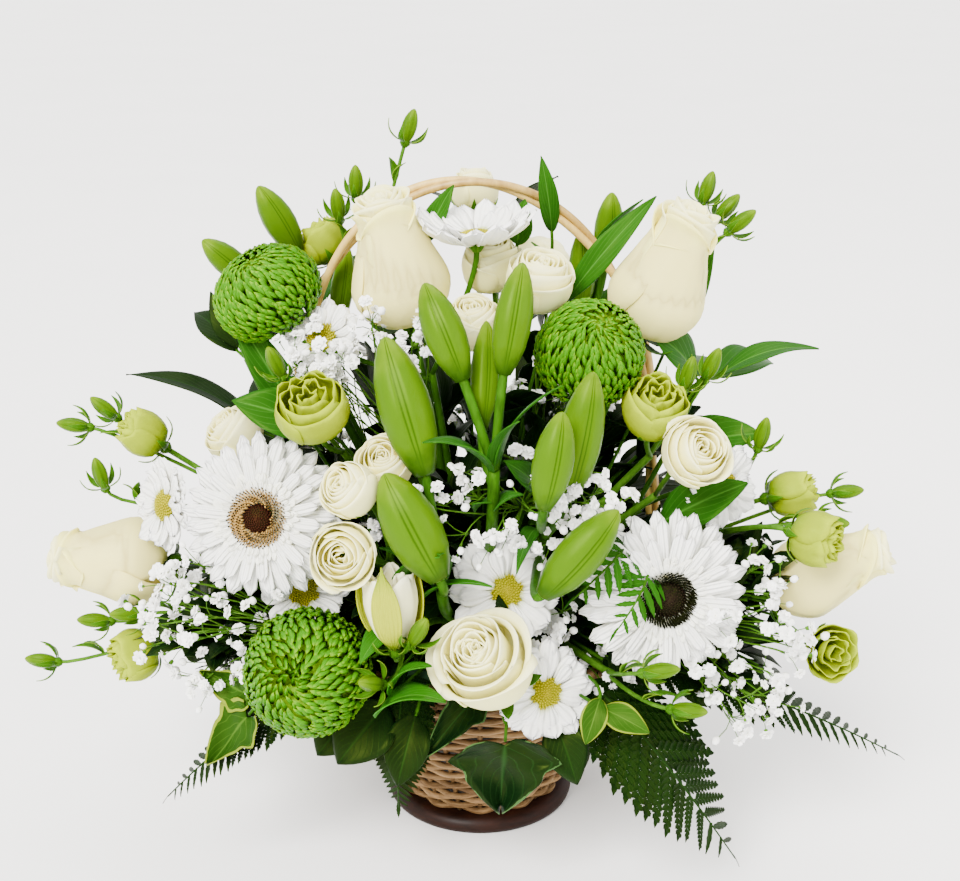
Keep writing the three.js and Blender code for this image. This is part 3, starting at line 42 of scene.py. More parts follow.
goldenTurn = 2.39996  # from one floret to the next in a spiral


# small helpers

def mix(a, b, share):
    return a + (b - a) * share


def ease(low, high, value):
    share = min(1, max(0, (value - low) / (high - low)))
    return share * share * (3 - 2 * share)


def follow(keys, t):
    # values on a smooth curve through the keys, each key a place from 0 to 1 and then its values
    last = len(keys) - 1
    i = next((n for n in range(1, last) if t <= keys[n][0]), last)
    low, high = keys[i - 1], keys[i]
    before, after = keys[max(0, i - 2)], keys[min(last, i + 1)]
    span = high[0] - low[0]
    u = min(1, max(0, (t - low[0]) / span))
    values = []
    for a, b, c, d in zip(before[1:], low[1:], high[1:], after[1:]):
        rise = (c - a) / (high[0] - before[0]) * span
        fall = (d - b) / (after[0] - low[0]) * span
        values.append(b + rise * u + (3 * (c - b) - 2 * rise - fall) * u * u
                      + (2 * (b - c) + rise + fall) * u ** 3)
    return values


def tone(code, strength=1.0):
    # a colour as it looks on screen, turned into the linear values that shaders use
    parts = [int(code[i:i + 2], 16) / 255 for i in (0, 2, 4)]
    linear = [p / 12.92 if p < 0.04045 else ((p + 0.055) / 1.055) ** 2.4 for p in parts]
    return (*[p * strength for p in linear], 1)


def aim(at, face, spin=0.0, size=1.0):
    # places a pattern that faces +Z, so that it faces along face
    turn = Vector(face).to_track_quat("Z", "Y").to_matrix().to_4x4()
    return Matrix.Translation(at) @ turn @ Matrix.Rotation(spin, 4, "Z") @ Matrix.Scale(size, 4)


def frameOf(at, forward, lift, size=1.0):
    # places a flat pattern that grows along +Y and has its upper side along +Z
    forward = forward.normalized()
    side = forward.cross(lift).normalized()
    normal = side.cross(forward)
    turn = Matrix((side, forward, normal)).transposed().to_4x4()
    return Matrix.Translation(at) @ turn @ Matrix.Scale(size, 4)


def bezier(points, t):
    while len(points) > 1:
        points = [a.lerp(b, t) for a, b in zip(points, points[1:])]
    return points[0]


def bezierRun(points, count):
    return [bezier(points, i / count) for i in range(count + 1)]


# meshes

def marked():
    # an empty mesh whose points know their place along and across a petal, and their own tint
    bm = bmesh.new()
    for layer in ("along", "across", "tint"):
        bm.verts.layers.float.new(layer)
    return bm


def patternOf(bm, paint=None):
    # paint is the place of a finish in the piece's own list
    mesh = bpy.data.meshes.new("pattern")
    if paint is not None:
        for face in bm.faces:
            face.material_index = paint
    bm.to_mesh(mesh)
    bm.free()
    return mesh


def thicken(bm, thickness):
    # a second skin behind the sheet, joined to it round the edge
    bm.normal_update()
    back = bm.verts.layers.float_vector.new("back")
    for v in bm.verts:
        v[back] = -v.normal * thickness
    skin = bmesh.ops.extrude_face_region(bm, geom=bm.faces[:], use_keep_orig=True)["geom"]
    for item in skin:
        if isinstance(item, bmesh.types.BMVert):
            item.co += item[back]
    bm.verts.layers.float_vector.remove(back)
    bmesh.ops.recalc_face_normals(bm, faces=bm.faces[:])


def sheetOf(shape, across=4, along=8, thickness=0.0, paint=0):
    # a petal or leaf: shape gives the place of each point from -1 to 1 across and 0 to 1 along
    bm = marked()
    alongLayer = bm.verts.layers.float["along"]
    acrossLayer = bm.verts.layers.float["across"]
    bmesh.ops.create_grid(bm, x_segments=across, y_segments=along, size=1)
    for v in bm.verts:
        s, t = v.co.x, (v.co.y + 1) / 2
        v[alongLayer] = t
        v[acrossLayer] = s
        v.co = shape(s, t)
    if thickness:
        thicken(bm, thickness)
    return patternOf(bm, paint)


def stamp(bm, pattern, matrix=None, tint=None):
    # adds a copy of a pattern to a piece
    copy = pattern.copy()
    if matrix:
        copy.transform(matrix)
    if tint is not None:
        copy.attributes["tint"].data.foreach_set("value", [tint] * len(copy.vertices))
    bm.from_mesh(copy)
    bpy.data.meshes.remove(copy)


def lay(bm, pattern, matrix=None, tint=None):
    # for a pattern that is used only once
    stamp(bm, pattern, matrix, tint)
    bpy.data.meshes.remove(pattern)


def addSheet(bm, shape, tint=0.5, **options):
    lay(bm, sheetOf(shape, **options), tint=tint)


def rodsOf(routes, fineness=1, paint=1, closed=False):
    # round rods along lists of points, each with one radius or a radius for every point
    curve = bpy.data.curves.new("routes", "CURVE")
    curve.dimensions = "3D"
    curve.bevel_depth = 1
    curve.bevel_resolution = fineness
    curve.use_fill_caps = not closed
    for points, radii in routes:
        if not isinstance(radii, (list, tuple)):
            radii = [radii] * len(points)
        spline = curve.splines.new("POLY")
        spline.points.add(len(points) - 1)
        for place, at, radius in zip(spline.points, points, radii):
            place.co = (*at, 1)
            place.radius = radius
        spline.use_cyclic_u = closed
    holder = bpy.data.objects.new("routes", curve)
    raw = bpy.data.meshes.new_from_object(holder)
    bpy.data.objects.remove(holder)
    bpy.data.curves.remove(curve)
    bm = marked()
    bm.from_mesh(raw)
    bmesh.ops.remove_doubles(bm, verts=bm.verts[:], dist=0.01)
    bpy.data.meshes.remove(raw)
    return patternOf(bm, paint)


def addRods(bm, routes, tint=0.5, **options):
    lay(bm, rodsOf(routes, **options), tint=tint)


def turnedOf(profile, steps, shift=None, paint=0):
    # a profile of (radius, height) spun about Z into a closed shell
    bm = marked()
    verts = [bm.verts.new((max(radius, 0.001), 0, height)) for radius, height in profile]
    edges = [bm.edges.new(pair) for pair in zip(verts, verts[1:])]
    bmesh.ops.spin(bm, geom=verts + edges, cent=(0, 0, 0), axis=(0, 0, 1), angle=2 * math.pi,
                   steps=steps, use_merge=True)
    bmesh.ops.remove_doubles(bm, verts=bm.verts[:], dist=0.002)
    lowest, highest = profile[0][1], profile[-1][1]
    alongLayer = bm.verts.layers.float["along"]
    acrossLayer = bm.verts.layers.float["across"]
    for v in bm.verts:
        v[alongLayer] = (v.co.z - lowest) / max(highest - lowest, 0.001)
        v[acrossLayer] = math.sin(3 * math.atan2(v.co.y, v.co.x))
        if shift:
            v.co = shift(v.co)
    bmesh.ops.recalc_face_normals(bm, faces=bm.faces[:])
    return patternOf(bm, paint)


def finishPiece(name, bm, finishes, nodes=()):
    mesh = bpy.data.meshes.new(name)
    bm.to_mesh(mesh)
    bm.free()
    mesh.transform(Matrix.Scale(mm, 4))
    for finish in finishes:
        mesh.materials.append(finish)
    mesh.polygons.foreach_set("use_smooth", [True] * len(mesh.polygons))
    piece = bpy.data.objects.new(name, mesh)
    scene.collection.objects.link(piece)
    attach(piece, "root")
    if nodes:
        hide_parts(*nodes)
    return piece


def camel(node):
    first, *rest = node.split("_")
    return first + "".join(word.title() for word in rest)


# camera, floor and light

studio = {"distance": 900, "elevation": 20, "lookAt": 230, "lens": 58.1, "sensor": 36, "nearest": 0.01,
          "floor": 20000, "floorColour": "ffffff", "worldLight": 1.7, "worldColour": (1, 0.99, 0.97, 1),
          "lampColour": (1, 0.97, 0.93), "lampTarget": (0, 0, 0.2), "sunAngle": 30,
          # each lamp is name, place, size and power, and a size of 0 makes it a sun
          "lamps": [("keyLight", (-0.55, -1.1, 1.35), 0, 10), ("topLight", (0.3, 0.4, 1.9), 1.0, 22),
                    ("sideLight", (1.4, -1.0, 0.9), 0.8, 14)]}


def makeStudio():
    tilt = math.radians(studio["elevation"])
    target = Vector((0, 0, studio["lookAt"])) * mm
    back = Vector((0, -math.cos(tilt), math.sin(tilt))) * studio["distance"] * mm
    camera = bpy.data.objects.new("camera", bpy.data.cameras.new("camera"))
    camera.location = target + back
    camera.rotation_euler = (-back).to_track_quat("-Z", "Y").to_euler()
    camera.data.lens = studio["lens"]
    camera.data.sensor_width = studio["sensor"]
    camera.data.clip_start = studio["nearest"]
    scene.collection.objects.link(camera)
    scene.camera = camera

    world = bpy.data.worlds.new("studio")
    world.use_nodes = True
    background = world.node_tree.nodes["Background"]
    background.inputs["Color"].default_value = studio["worldColour"]
    background.inputs["Strength"].default_value = studio["worldLight"]
    scene.world = world
    for name, at, size, power in studio["lamps"]:
        lamp = bpy.data.lights.new(name, "AREA" if size else "SUN")
        if size:
            lamp.size = size
        else:
            lamp.angle = math.radians(studio["sunAngle"])
        lamp.color = studio["lampColour"]
        lamp.energy = power
        light = bpy.data.objects.new(name, lamp)
        light.location = at
        aimed = Vector(studio["lampTarget"]) - Vector(at)
        light.rotation_euler = aimed.to_track_quat("-Z", "Y").to_euler()
        scene.collection.objects.link(light)

    bm = bmesh.new()
    bmesh.ops.create_grid(bm, x_segments=1, y_segments=1, size=studio["floor"] * mm / 2)
    mesh = bpy.data.meshes.new("floor")
    bm.to_mesh(mesh)
    bm.free()
    floor = bpy.data.objects.new("floor", mesh)
    mesh.materials.append(floorFinish())
    scene.collection.objects.link(floor)


# finishes

def addNode(tree, kind, inputs=None, **settings):
    made = tree.nodes.new(kind)
    for key, value in settings.items():
        setattr(made, key, value)
    for key, value in (inputs or {}).items():
        if isinstance(value, bpy.types.NodeSocket):
            tree.links.new(value, made.inputs[key])
        else:
            made.inputs[key].default_value = value
    return made


def sums(tree, operation, a, b=0.0):
    return addNode(tree, "ShaderNodeMath", {0: a, 1: b}, operation=operation).outputs[0]


def swing(tree, value, amount):
    # a value from 0 to 1 becomes one that swings as far to both sides of nought
    return sums(tree, "MULTIPLY", sums(tree, "SUBTRACT", value, 0.5), amount)


def between(tree, value, low, high, toLow=0.0, toHigh=1.0):
    ranged = addNode(tree, "ShaderNodeMapRange", {"Value": value, "From Min": low, "From Max": high,
                     "To Min": toLow, "To Max": toHigh}, interpolation_type="SMOOTHSTEP")
    return ranged.outputs["Result"]


def blendColour(tree, share, a, b, kind="MIX"):
    made = addNode(tree, "ShaderNodeMix", data_type="RGBA", blend_type=kind)
    for index, value in ((0, share), (6, a), (7, b)):
        if isinstance(value, bpy.types.NodeSocket):
            tree.links.new(value, made.inputs[index])
        else:
            made.inputs[index].default_value = value
    return made.outputs[2]


def attribute(tree, name):
    return addNode(tree, "ShaderNodeAttribute", attribute_name=name).outputs["Fac"]


def speckle(tree, scale, detail=3.0, stretch=None, rough=0.5):
    place = addNode(tree, "ShaderNodeTexCoord").outputs["Object"]
    if stretch:
        place = addNode(tree, "ShaderNodeMapping", {"Vector": place, "Scale": stretch}).outputs["Vector"]
    return addNode(tree, "ShaderNodeTexNoise", {"Vector": place, "Scale": scale, "Detail": detail,
                   "Roughness": rough}).outputs["Fac"]


def newGroup(name, inputs):
    group = bpy.data.node_groups.new(name, "ShaderNodeTree")
    kinds = {4: "NodeSocketColor", 3: "NodeSocketVector", 0: "NodeSocketFloat"}
    for label, value in inputs.items():
        size = len(value) if isinstance(value, tuple) else 0
        group.interface.new_socket(label, in_out="INPUT", socket_type=kinds[size]).default_value = value
    for label, size in (("Colour", 4), ("Roughness", 0), ("Normal", 3)):
        group.interface.new_socket(label, in_out="OUTPUT", socket_type=kinds[size])
    entry = group.nodes.new("NodeGroupInput")
    leave = group.nodes.new("NodeGroupOutput")
    return group, entry.outputs, leave.inputs


def giveOut(group, give, colour, rough, bump):
    group.links.new(colour, give["Colour"])
    group.links.new(rough, give["Roughness"])
    group.links.new(bump.outputs["Normal"], give["Normal"])
    return group


def petalGroup():
    # colour from root to lip, fine ribs along the petal, soft blotches and, on buds, dark seams
    group, take, give = newGroup("petal surface", {
        "Root": (1, 1, 1, 1), "Body": (1, 1, 1, 1), "Lip": (1, 1, 1, 1), "Root End": 0.4, "Ribs": 20.0,
        "Relief": 0.3, "Shine": 0.5, "Seams": 0.0})
    along, across, tint = (attribute(group, name) for name in ("along", "across", "tint"))
    blotch = speckle(group, 90.0)
    wander = sums(group, "ADD", along, swing(group, blotch, 0.35))
    fromRoot = between(group, wander, 0.02, take["Root End"])
    colour = blendColour(group, fromRoot, take["Root"], take["Body"])
    colour = blendColour(group, between(group, wander, 0.72, 1.02), colour, take["Lip"])
    beside = sums(group, "ABSOLUTE", sums(group, "SUBTRACT", sums(group, "ABSOLUTE", across), 0.1))
    seam = sums(group, "MULTIPLY", between(group, beside, 0.0, 0.07, 1.0, 0.0), take["Seams"])
    colour = blendColour(group, seam, colour, take["Root"])
    shade = sums(group, "ADD", 0.9, sums(group, "MULTIPLY", tint, 0.16))
    shade = sums(group, "ADD", shade, swing(group, blotch, 0.08))
    shadeColour = addNode(group, "ShaderNodeCombineColor", {0: shade, 1: shade, 2: shade}).outputs[0]
    colour = blendColour(group, 1.0, colour, shadeColour, "MULTIPLY")
    rib = sums(group, "SINE", sums(group, "MULTIPLY", across, take["Ribs"]))
    rib = sums(group, "ADD", rib, sums(group, "MULTIPLY", speckle(group, 400.0), 1.4))
    bump = addNode(group, "ShaderNodeBump", {"Strength": take["Relief"], "Distance": 0.0004, "Height": rib})
    rough = sums(group, "ADD", take["Shine"], swing(group, blotch, 0.3))
    return giveOut(group, give, colour, rough, bump)


def leafGroup():
    # a green blade with a midrib, side veins, a margin of its own colour and mottling
    group, take, give = newGroup("leaf surface", {
        "Blade": (0, 1, 0, 1), "Deep": (0, 0.5, 0, 1), "Vein": (0.5, 1, 0.5, 1), "Margin": (0, 1, 0, 1),
        "Margin Width": 0.1, "Veins": 9.0, "Slant": 0.4, "Shine": 0.4})
    along, across, tint = (attribute(group, name) for name in ("along", "across", "tint"))
    side = sums(group, "ABSOLUTE", across)
    blotch = speckle(group, 55.0, 4.0)
    mottle = sums(group, "ADD", sums(group, "MULTIPLY", tint, 0.5), sums(group, "MULTIPLY", blotch, 0.6))
    colour = blendColour(group, mottle, take["Deep"], take["Blade"])
    slanted = sums(group, "SUBTRACT", along, sums(group, "MULTIPLY", side, take["Slant"]))
    comb = sums(group, "PINGPONG", sums(group, "MULTIPLY", slanted, take["Veins"]), 0.5)
    midrib = between(group, side, 0.0, 0.09, 1.0, 0.0)
    lines = sums(group, "MAXIMUM", midrib, between(group, comb, 0.0, 0.1, 0.45, 0.0))
    colour = blendColour(group, sums(group, "MULTIPLY", lines, 0.7), colour, take["Vein"])
    inner = sums(group, "SUBTRACT", 1.0, take["Margin Width"])
    ragged = sums(group, "ADD", side, swing(group, blotch, 0.5))
    colour = blendColour(group, sums(group, "GREATER_THAN", ragged, inner), colour, take["Margin"])
    height = sums(group, "SUBTRACT", sums(group, "MULTIPLY", speckle(group, 500.0), 0.4), lines)
    bump = addNode(group, "ShaderNodeBump", {"Strength": 0.35, "Distance": 0.0005, "Height": height})
    rough = sums(group, "ADD", take["Shine"], swing(group, blotch, 0.35))
    return giveOut(group, give, colour, rough, bump)


def fibreGroup():
    # split cane, stems and stained wood: long streaks, darker patches and a fine fibre relief
    group, take, give = newGroup("fibre surface", {
        "Light": (1, 1, 1, 1), "Dark": (0, 0, 0, 1), "Streak": (1, 1, 1), "Scale": 200.0, "Relief": 0.4,
        "Shine": 0.5})
    place = addNode(group, "ShaderNodeTexCoord").outputs["Object"]
    drawn = addNode(group, "ShaderNodeMapping", {"Vector": place, "Scale": take["Streak"]}).outputs["Vector"]
    fibre = addNode(group, "ShaderNodeTexNoise", {"Vector": drawn, "Scale": take["Scale"], "Detail": 5.0,
                    "Roughness": 0.6}).outputs["Fac"]
    patch = speckle(group, 30.0, 2.0)
    share = sums(group, "ADD", sums(group, "MULTIPLY", fibre, 0.7), sums(group, "MULTIPLY", patch, 0.35))
    share = sums(group, "ADD", share, swing(group, attribute(group, "tint"), 0.5))
    colour = blendColour(group, between(group, share, 0.25, 0.8), take["Dark"], take["Light"])
    bump = addNode(group, "ShaderNodeBump", {"Strength": take["Relief"], "Distance": 0.0005, "Height": fibre})
    rough = sums(group, "ADD", take["Shine"], swing(group, patch, 0.4))
    return giveOut(group, give, colour, rough, bump)


surfaces = {"petal": petalGroup(), "leaf": leafGroup(), "fibre": fibreGroup()}


def finishOf(name, surface, values, shader=None):
    material = bpy.data.materials.new(name)
    material.use_nodes = True
    tree = material.node_tree
    principled = tree.nodes["Principled BSDF"]
    group = addNode(tree, "ShaderNodeGroup", node_tree=surfaces[surface])
    for key, value in values.items():
        group.inputs[key].default_value = value
    tree.links.new(group.outputs["Colour"], principled.inputs["Base Color"])
    tree.links.new(group.outputs["Roughness"], principled.inputs["Roughness"])
    tree.links.new(group.outputs["Normal"], principled.inputs["Normal"])
    for key, value in (shader or {}).items():
        principled.inputs[key].default_value = value
    return material


def floorFinish():
    material = bpy.data.materials.new("studio floor")
    material.use_nodes = True
    tree = material.node_tree
    principled = tree.nodes["Principled BSDF"]
    shade = blendColour(tree, speckle(tree, 4.0), tone("f7f7f7"), tone(studio["floorColour"]))
    tree.links.new(shade, principled.inputs["Base Color"])
    principled.inputs["Roughness"].default_value = 0.9
    return material


evenly = (1, 0.9, 0.75)
greenish = (0.7, 1, 0.15, 1)
soft = {"Subsurface Weight": 0.35, "Subsurface Scale": 0.004, "Subsurface Radius": evenly,
        "Specular IOR Level": 0.15, "Specular Tint": (1, 0.95, 0.7, 1)}
thin = {"Subsurface Weight": 0.15, "Subsurface Scale": 0.002, "Subsurface Radius": evenly,
        "Specular IOR Level": 0.2}
waxy = {"Subsurface Weight": 0.1, "Subsurface Scale": 0.002, "Subsurface Radius": evenly,
        "Specular IOR Level": 0.14, "Specular Tint": greenish}
leafy = {"Specular IOR Level": 0.12, "Specular Tint": greenish}
dry = {"Specular IOR Level": 0.15}
glossy = {"Specular IOR Level": 0.5, "Coat Weight": 0.12, "Coat Roughness": 0.35}


def petalFinish(name, root, body, lip, rootEnd=0.4, ribs=20.0, relief=0.3, shine=0.5, shader=soft, seams=0.0):
    values = {"Root": tone(root), "Body": tone(body), "Lip": tone(lip), "Root End": rootEnd,
              "Ribs": ribs, "Relief": relief, "Shine": shine, "Seams": seams}
    return finishOf(name, "petal", values, shader)


def leafFinish(name, blade, deep, vein, margin, marginWidth=0.0, veins=9.0, slant=0.4, shine=0.4):
    values = {"Blade": tone(blade, 0.8), "Deep": tone(deep, 0.8), "Vein": tone(vein, 0.8),
              "Margin": tone(margin, 0.8), "Margin Width": marginWidth, "Veins": veins, "Slant": slant,
              "Shine": shine}
    return finishOf(name, "leaf", values, leafy)


def fibreFinish(name, light, dark, streak=(1, 1, 1), scale=200.0, relief=0.4, shine=0.5, shader=None):
    values = {"Light": tone(light), "Dark": tone(dark), "Streak": streak, "Scale": scale,
              "Relief": relief, "Shine": shine}
    return finishOf(name, "fibre", values, shader)


finishes = {
    "rose": petalFinish("ivory rose petal", "c8c45c", "f2e48a", "fcf48c", 0.2, 16.0, 0.15, 0.5),
    "roseHeart": petalFinish("cream rose heart", "f6ec70", "fcf490", "fdf8b4", 0.5, 12.0, 0.15, 0.5),
    "sprayRose": petalFinish("cream spray rose petal", "d0dc70", "f8f2a0", "fcf8b8", 0.4, 10.0, 0.2, 0.5),
    "gerbera": petalFinish("white gerbera ray", "dcdeb8", "fcfcf4", "fffffc", 0.3, 9.0, 1.0, 0.45, thin),
    "gerberaInner": petalFinish("short gerbera floret", "dcd8a0", "fffff2", "ffffee", 0.5, 8.0, 0.5, 0.5,
                                thin),
    "daisy": petalFinish("white daisy ray", "d0d898", "fcfcf4", "fffffc", 0.25, 9.0, 0.9, 0.45, thin),
    "daisyEye": petalFinish("yellow daisy eye", "4e6402", "8a8802", "a89a04", 0.4, 3.0, 0.5, 0.6, waxy),
    # the near-black root colour is painted shade in the gaps between the florets
    "lime": petalFinish("lime chrysanthemum floret", "051a02", "387402", "6c9c04", 0.6, 7.0, 0.4, 0.42, waxy),
    "lilyBud": petalFinish("lily bud", "204002", "3e6000", "587400", 0.3, 10.0, 0.12, 0.36, waxy, 0.9),
    "lisianthus": petalFinish("lime lisianthus petal", "4a6e00", "849400", "9aaa02", 0.6, 14.0, 0.4, 0.5,
                              waxy),
    "alstroemeria": petalFinish("cream alstroemeria petal", "8ca030", "f0ecb0", "f8f4c8", 0.4, 14.0, 0.4,
                                0.45),
    "streaked": petalFinish("streaked alstroemeria petal", "5c7a06", "9ca410", "7c9008", 0.4, 22.0, 0.6,
                            0.45),
    "breath": petalFinish("white breath floret", "d0d8a8", "fffffa", "ffffff", 0.3, 5.0, 0.2, 0.6, thin),
    "eyeDark": petalFinish("dark disc floret", "0c0204", "1c0508", "341010", 0.6, 4.0, 0.6, 0.6, waxy),
    "eyeBrown": petalFinish("golden disc floret", "a8864c", "b4905a", "8a6a34", 0.5, 4.0, 0.6, 0.6, waxy),
    "eyeBlack": petalFinish("black disc floret", "050203", "0b0306", "1c0a10", 0.6, 4.0, 0.6, 0.6, waxy),
    "stem": fibreFinish("green stem", "30600a", "163404", (1, 1, 0.25), 260.0, 0.3, 0.5, waxy),
    "paleStem": fibreFinish("pale thin stem", "48741a", "24480c", (1, 1, 0.3), 260.0, 0.3, 0.5, waxy),
    "sepal": leafFinish("green sepal", "3c7006", "1e4804", "5c8a1c", "6a8a20", 0.05, 5.0, 0.3, 0.45),
    "fern": leafFinish("dark fern leaflet", "0a2406", "020c02", "16380c", "0a2406", 0.0, 5.0, 0.5, 0.42),
    "sprig": leafFinish("bright fern leaflet", "1f5c0c", "0e3404", "3c7a20", "1f5c0c", 0.0, 5.0, 0.5, 0.42),
    "fernShade": leafFinish("shaded fern leaflet", "0c240a", "030c02", "123010", "0c240a", 0.0, 5.0, 0.5,
                            0.42),
    # the ivy's own dark green, deepened further with painted shade under the bouquet
    "ivy": leafFinish("dark ivy blade", "0a240c", "031004", "1a3c18", "3c5c30", 0.02, 5.0, 0.6, 0.36),
    "edged": leafFinish("yellow edged ivy blade", "2e5410", "0e2c06", "4c7020", "7c8c20", 0.12, 5.0, 0.6,
                        0.4),
    "lance": leafFinish("mid green lance leaf", "245c10", "0e3a06", "48802a", "245c10", 0.0, 4.0, 0.9, 0.4),
    "broad": leafFinish("bright broad leaf", "2c6c10", "144806", "4c8824", "2c6c10", 0.0, 6.0, 0.7, 0.36),
    # near-black greens: painted shade of the deep inside of the bouquet, laid over the leaves' own green
    "shadedLeaf": leafFinish("filling leaf in painted shade", "0a220a", "020c02", "14340e", "0a220a", 0.0, 8.0, 0.5, 0.45),
    "wicker": fibreFinish("split willow", "94744c", "4c3418", (1, 1, 5), 160.0, 0.6, 0.6, dry),
    "cane": fibreFinish("bleached cane", "d8b660", "8a6828", (1, 1, 0.4), 150.0, 0.45, 0.45),
    # near-black: painted shade seen through the gaps of the weave
    "core": fibreFinish("painted shade behind the weave", "1c1208", "080402", (1, 1, 4), 120.0, 0.4, 0.7),
    "foot": fibreFinish("stained wooden foot", "281006", "0e0502", (1, 1, 6), 90.0, 0.2, 0.5, dry),
    "film": fibreFinish("dark lining film", "142414", "080e08", (1, 1, 1), 60.0, 0.5, 0.3, glossy),
    "foam": fibreFinish("wet floral foam", "1c4a22", "0e2c14", (1, 1, 1), 420.0, 0.9, 0.9),
}


# stems

bouquet = {"foamTop": 112, "mouthLift": 2.5, "focus": Vector((0, 0, -60)), "spread": 0.3, "reach": 62,
           "depth": 22, "greenDepth": 18, "bow": 0.36}


def mouthFor(base, entry=None):
    # where a stem comes out of the foam
    x, y = entry or (base[0] * bouquet["spread"], base[1] * bouquet["spread"])
    wide = math.hypot(x, y)
    share = min(1, bouquet["reach"] / max(wide, 1))
    return Vector((x * share, y * share, bouquet["foamTop"] + bouquet["mouthLift"]))


def stemRun(base, face, entry=None, count=14):
    # from inside the foam, up and along to the back of a bloom
    mouth = mouthFor(base, entry)
    rise = (mouth - bouquet["focus"]).normalized()
    span = (base - mouth).length
    run = bezierRun([mouth, mouth + rise * bouquet["bow"] * span, base - face * 0.32 * span, base], count)
    return [mouth - rise * bouquet["depth"], *run]


def twigRun(fork, base, face, count=7):
    knee = base - face * min(16, 0.45 * (base - fork).length)
    return bezierRun([fork, knee, base], count)


def headingTo(fork):
    # the way a stem points where it forks
    return (fork - Vector((0, 0, bouquet["foamTop"]))).normalized()


def leafShape(root, tip, width, arch=0.12, fold=0.15, ripple=0.0, lift=up, blunt=0.0, sag=0.0):
    # a lance leaf from root to tip, arched along its length and folded along its midrib
    root, tip = Vector(root), Vector(tip)
    length = (tip - root).length
    forward = (tip - root) / length
    side = forward.cross(lift)
    side = side.normalized() if side.length > 0.05 else Vector((1, 0, 0))
    normal = side.cross(forward)

    def shape(s, t):
        outline = math.sin(math.pi * min(1, t ** 0.8)) ** (0.9 - 0.4 * blunt) if 0 < t < 1 else 0
        half = width / 2 * max(outline, 0.03)
        bend = arch * length * 4 * t * (1 - t) + sag * length * t * t
        wave = ripple * width * math.sin(9 * t + 2 * s) * abs(s)
        return root + forward * length * t + side * s * half + normal * (bend + fold * abs(s) * half + wave)
    return shape


# whorled blooms: large roses, spray roses and lisianthus

def whorlShape(row, phase, radius, length, draw):
    # a petal that wraps round the bloom's axis; keys hold (place, radius, height) as shares of the bloom
    lean, turn, stretch = draw.uniform(-1, 1), draw.uniform(0, 6), draw.uniform(-1, 1)
    reach = math.radians(row["reach"])
    curl, ruffle, waves = row.get("curl", 0.06), row.get("ruffle", 0.02), row.get("waves", 5)
    scallop, flare = row.get("scallop", 0.06), row.get("flare", 0.05)

    def shape(s, t):
        r, z = follow(row["keys"], t)
        wide = 0.5 + 0.5 * math.sin(min(1, t / 0.55) * math.pi / 2)
        wide -= row.get("round", 0.18) * t ** 6
        angle = phase + s * reach * wide + 0.08 * lean * t
        lip = ease(0.74, 1, t)
        roll = curl * lip * (0.55 + 0.45 * math.sin(2.3 * s + turn))
        r += flare * abs(s) ** 3 * t + 0.03 * s + roll
        z -= scallop * s * s * t ** 3 + 0.55 * roll * lip - 0.02 * stretch * t
        z += row.get("slant", 0) * t ** 3 * math.cos(angle)
        wave = ruffle * t ** 4 * math.sin(waves * s + turn)
        dent = 0.012 * math.sin(3.1 * s + 5 * t + turn)
        r += wave + dent
        z += wave * 0.8
        return Vector((r * math.cos(angle) * radius, r * math.sin(angle) * radius, z * length))
    return shape


def whorlPattern(rows, radius, length, seed, fine=(8, 10), thickness=0.5):
    draw = random.Random(seed)
    bm = marked()
    for i, row in enumerate(rows):
        start = row.get("phase", 0.61 * math.pi * i + draw.uniform(0, 0.3))
        for k in range(row["count"]):
            phase = start + 2 * math.pi * k / row["count"] + draw.uniform(-0.07, 0.07)
            shape = whorlShape(row, phase, radius, length, draw)
            addSheet(bm, shape, tint=draw.uniform(0.2, 0.8), across=fine[0], along=fine[1],
                     thickness=thickness, paint=row.get("paint", 0))
    return patternOf(bm)


tallRose = [
    {"count": 2, "reach": 112, "curl": 0.08, "ruffle": 0.03, "scallop": 0.16, "flare": 0.0, "waves": 3,
     "slant": 0.1, "keys": [(0, 0.2, 0.0), (0.12, 0.62, 0.02), (0.36, 1.0, 0.25), (0.64, 0.8, 0.54),
                            (0.84, 0.6, 0.74), (1, 0.62, 0.84)]},
    {"count": 2, "reach": 110, "curl": 0.08, "ruffle": 0.03, "scallop": 0.16, "flare": 0.0, "waves": 3,
     "keys": [(0, 0.18, 0.02), (0.12, 0.56, 0.05), (0.36, 0.95, 0.28), (0.64, 0.76, 0.58), (0.84, 0.57, 0.8),
              (1, 0.6, 0.91)]},
    {"count": 3, "reach": 92, "curl": 0.08, "ruffle": 0.02, "waves": 3, "round": 0.06, "paint": 2,
     "keys": [(0, 0.14, 0.04), (0.2, 0.5, 0.12), (0.45, 0.8, 0.4), (0.8, 0.52, 0.83), (1, 0.53, 0.96)]},
    {"count": 4, "reach": 76, "curl": 0.07, "ruffle": 0.025, "waves": 3, "round": 0.06, "paint": 2,
     "keys": [(0, 0.12, 0.05), (0.2, 0.4, 0.15), (0.45, 0.62, 0.45), (0.8, 0.44, 0.86), (1, 0.44, 0.99)]},
    {"count": 4, "reach": 74, "curl": 0.05, "ruffle": 0.025, "waves": 3, "round": 0.06, "paint": 2,
     "keys": [(0, 0.1, 0.1), (0.45, 0.44, 0.5), (0.8, 0.34, 0.86), (1, 0.34, 0.985)]},
    {"count": 3, "reach": 80, "curl": 0.03, "ruffle": 0.04, "paint": 2,
     "keys": [(0, 0.08, 0.2), (0.5, 0.3, 0.6), (1, 0.24, 0.97)]},
    {"count": 3, "reach": 85, "curl": 0.02, "ruffle": 0.03, "paint": 2,
     "keys": [(0, 0.06, 0.3), (0.5, 0.2, 0.7), (1, 0.14, 0.955)]},
    {"count": 2, "reach": 120, "curl": 0.01, "ruffle": 0.01, "paint": 2,
     "keys": [(0, 0.04, 0.4), (0.5, 0.1, 0.75), (1, 0.06, 0.94)]}]

